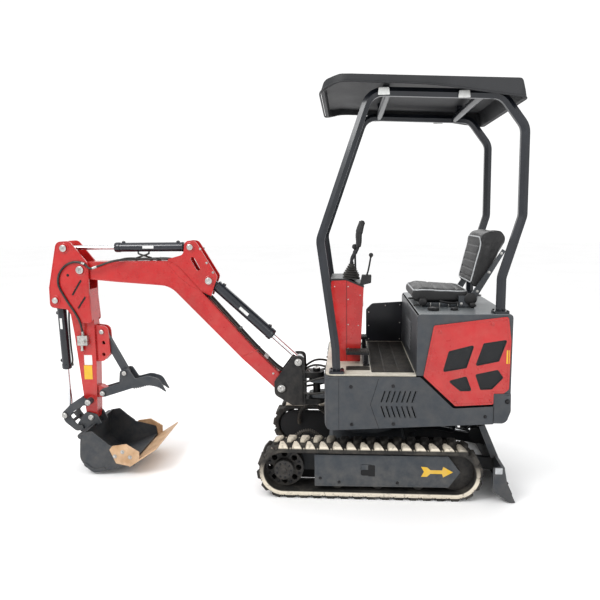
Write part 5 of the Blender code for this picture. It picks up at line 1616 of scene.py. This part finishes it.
# Fittings at the hoses' ends.
house_fit = Piece("hose_nuts_house", "house", steel)
for x, z in ((0.084, 0.610), (0.106, 0.580), (0.104, 0.520)):
    house_fit.turned((x, -0.1722, z), (0, -1, 0), [
        (0.0105, -0.001), (0.0105, 0.010), (0.0085, 0.012), (0.0085, 0.022), (0.0070, 0.024)
    ], 6)
house_fit.both().done(0.0004)
bracket_fit = Piece("hose_nuts_bracket", "swing_bracket", steel)
bracket_fit.nut((0.040, -0.378, 0.5940), (0, 0, 1))
bracket_fit.nut((0.030, -0.3922, 0.560), (0, -1, 0), height=0.010)
for z in (0.540, 0.478):
    bracket_fit.nut((0.0593, -0.380, z), (1, 0, 0))
bracket_fit.both().done(0.0004)
boom_fit = Piece("hose_ferrules_boom", "boom", steel)
ferrule(boom_fit, (0.0795, -1.6080, 1.2461), (0.0795, -1.6385, 1.2365))
ferrule(boom_fit, (0.0240, -0.6160, 0.6985), (0.0240, -0.5950, 0.6762))
boom_fit.both().done(0)
arm_fit = Piece("hose_ferrules_arm", "arm", steel)
ferrule(arm_fit, (0.0744, -1.7060, 1.2700), (0.0744, -1.6862, 1.2615))
ferrule(arm_fit, (0.0600, -1.7310, 0.8310), (0.0606, -1.7310, 0.8480))
arm_fit.both().done(0)
for number, (x, y, x1, y1) in enumerate((
    (-0.007, -1.300, -0.0075, -1.302), (0.007, -1.390, 0.0075, -1.388)
)):
    loop = Piece(f"arm_feed_hose_{number + 1}", "boom", hose_black)
    loop.tube(curve_through([
        (x1, y1, 1.278), (x1, y1, 1.2820), (x, y, 1.2870), (x, y, 1.2915)
    ], 0.002), 0.0055, 12)
    loop.done(0, between=("arm_barrel", (0, y, 1.2845), (0, y, 1.2905)))

# The bundle of travel hoses is wound with a spiral guard.
travel = [
    (0.235, -0.2203, 0.236), (0.235, -0.240, 0.236), (0.236, -0.285, 0.275), (0.238, -0.330, 0.302),
    (0.240, -0.385, 0.292), (0.246, -0.415, 0.262), (0.256, -0.430, 0.205), (0.276, -0.430, 0.166),
    (0.2987, -0.430, 0.166)
]
wrap = Piece("travel_hose_wraps", "undercarriage", rubber, "hose_rubber")
line = curve_through(travel, 0.0035)
spiral = []
turns_per_step = 0.30
for i in range(4, len(line) - 4):
    here = line[i]
    along = (line[i + 1] - line[i - 1]).normalized()
    across = Vector((1, 0, 0)) - along * along.x
    across = across.normalized() if across.length > 0.2 else Vector((
        0, 0, 1
    )).cross(along).normalized()
    third = along.cross(across)
    for part in range(6):
        angle = 2 * math.pi * turns_per_step * (i + part / 6)
        spot = here.lerp(line[i + 1], part / 6)
        spiral.append(spot + (across * math.cos(angle) + third * math.sin(angle)) * 0.0112)
wrap.tube(spiral, 0.0022, 5)
wrap.both().done(0)


# --- floor, light and camera ---------------------------------------------------------------------
stage = Surface(
    "pale_floor", (0.90, 0.90, 0.90), (0.93, 0.93, 0.93), 0.85, patch=0.6, grain=120.0, bump=0.02
)
mesh = bpy.data.meshes.new("floor")
REACH = 30.0
mesh.from_pydata([
    (-REACH, -REACH, 0), (REACH, -REACH, 0), (REACH, REACH, 0), (-REACH, REACH, 0)
], [], [(0, 1, 2, 3)])
mesh.materials.append(stage.material)
floor = bpy.data.objects.new("floor", mesh)
scene.collection.objects.link(floor)
floor.location.z = -0.0005

world = bpy.data.worlds.new("studio")
scene.world = world
world.use_nodes = True
world.node_tree.nodes["Background"].inputs["Color"].default_value = (1.0, 1.0, 1.0, 1)
world.node_tree.nodes["Background"].inputs["Strength"].default_value = 0.90


def area_light(name, place, target, size, power):
    lamp = bpy.data.lights.new(name, "AREA")
    lamp.shape, lamp.size, lamp.energy = "DISK", size, power
    obj = bpy.data.objects.new(name, lamp)
    scene.collection.objects.link(obj)
    obj.location = place
    obj.rotation_mode = "QUATERNION"
    obj.rotation_quaternion = (Vector(target) - Vector(place)).to_track_quat("-Z", "Y")


area_light("key", (3.2, -2.6, 4.6), (0, 0.2, 0.8), 2.4, 120)
area_light("fill", (4.5, 3.2, 2.2), (0, 0.4, 0.9), 3.0, 40)
area_light("back", (-3.5, 0.5, 4.2), (0, 0.2, 0.9), 3.0, 60)

SENSOR, FOCAL = 36.0, 35.892  # in millimetres
EYE = (3.551, 0.4454, 1.532)
YAW, PITCH_DOWN, ROLL = math.radians(-4.50), math.radians(7.99), math.radians(-0.69)
ahead = Vector((
    -math.cos(YAW) * math.cos(PITCH_DOWN), math.sin(YAW) * math.cos(PITCH_DOWN),
    -math.sin(PITCH_DOWN)
))
level = Vector((math.sin(YAW), math.cos(YAW), 0))
upward = level.cross(ahead)
right = math.cos(ROLL) * level + math.sin(ROLL) * upward
up = -math.sin(ROLL) * level + math.cos(ROLL) * upward
lens = bpy.data.cameras.new("camera")
lens.sensor_width = SENSOR
lens.lens = FOCAL
lens.clip_end = 200
camera = bpy.data.objects.new("camera", lens)
scene.collection.objects.link(camera)
camera.matrix_world = Matrix.Translation(EYE) @ Matrix((
    (right.x, up.x, -ahead.x, 0), (right.y, up.y, -ahead.y, 0), (right.z, up.z, -ahead.z, 0),
    (0, 0, 0, 1),
))
scene.camera = camera
scene.view_settings.view_transform = "Standard"
scene.view_settings.look = "Medium High Contrast"
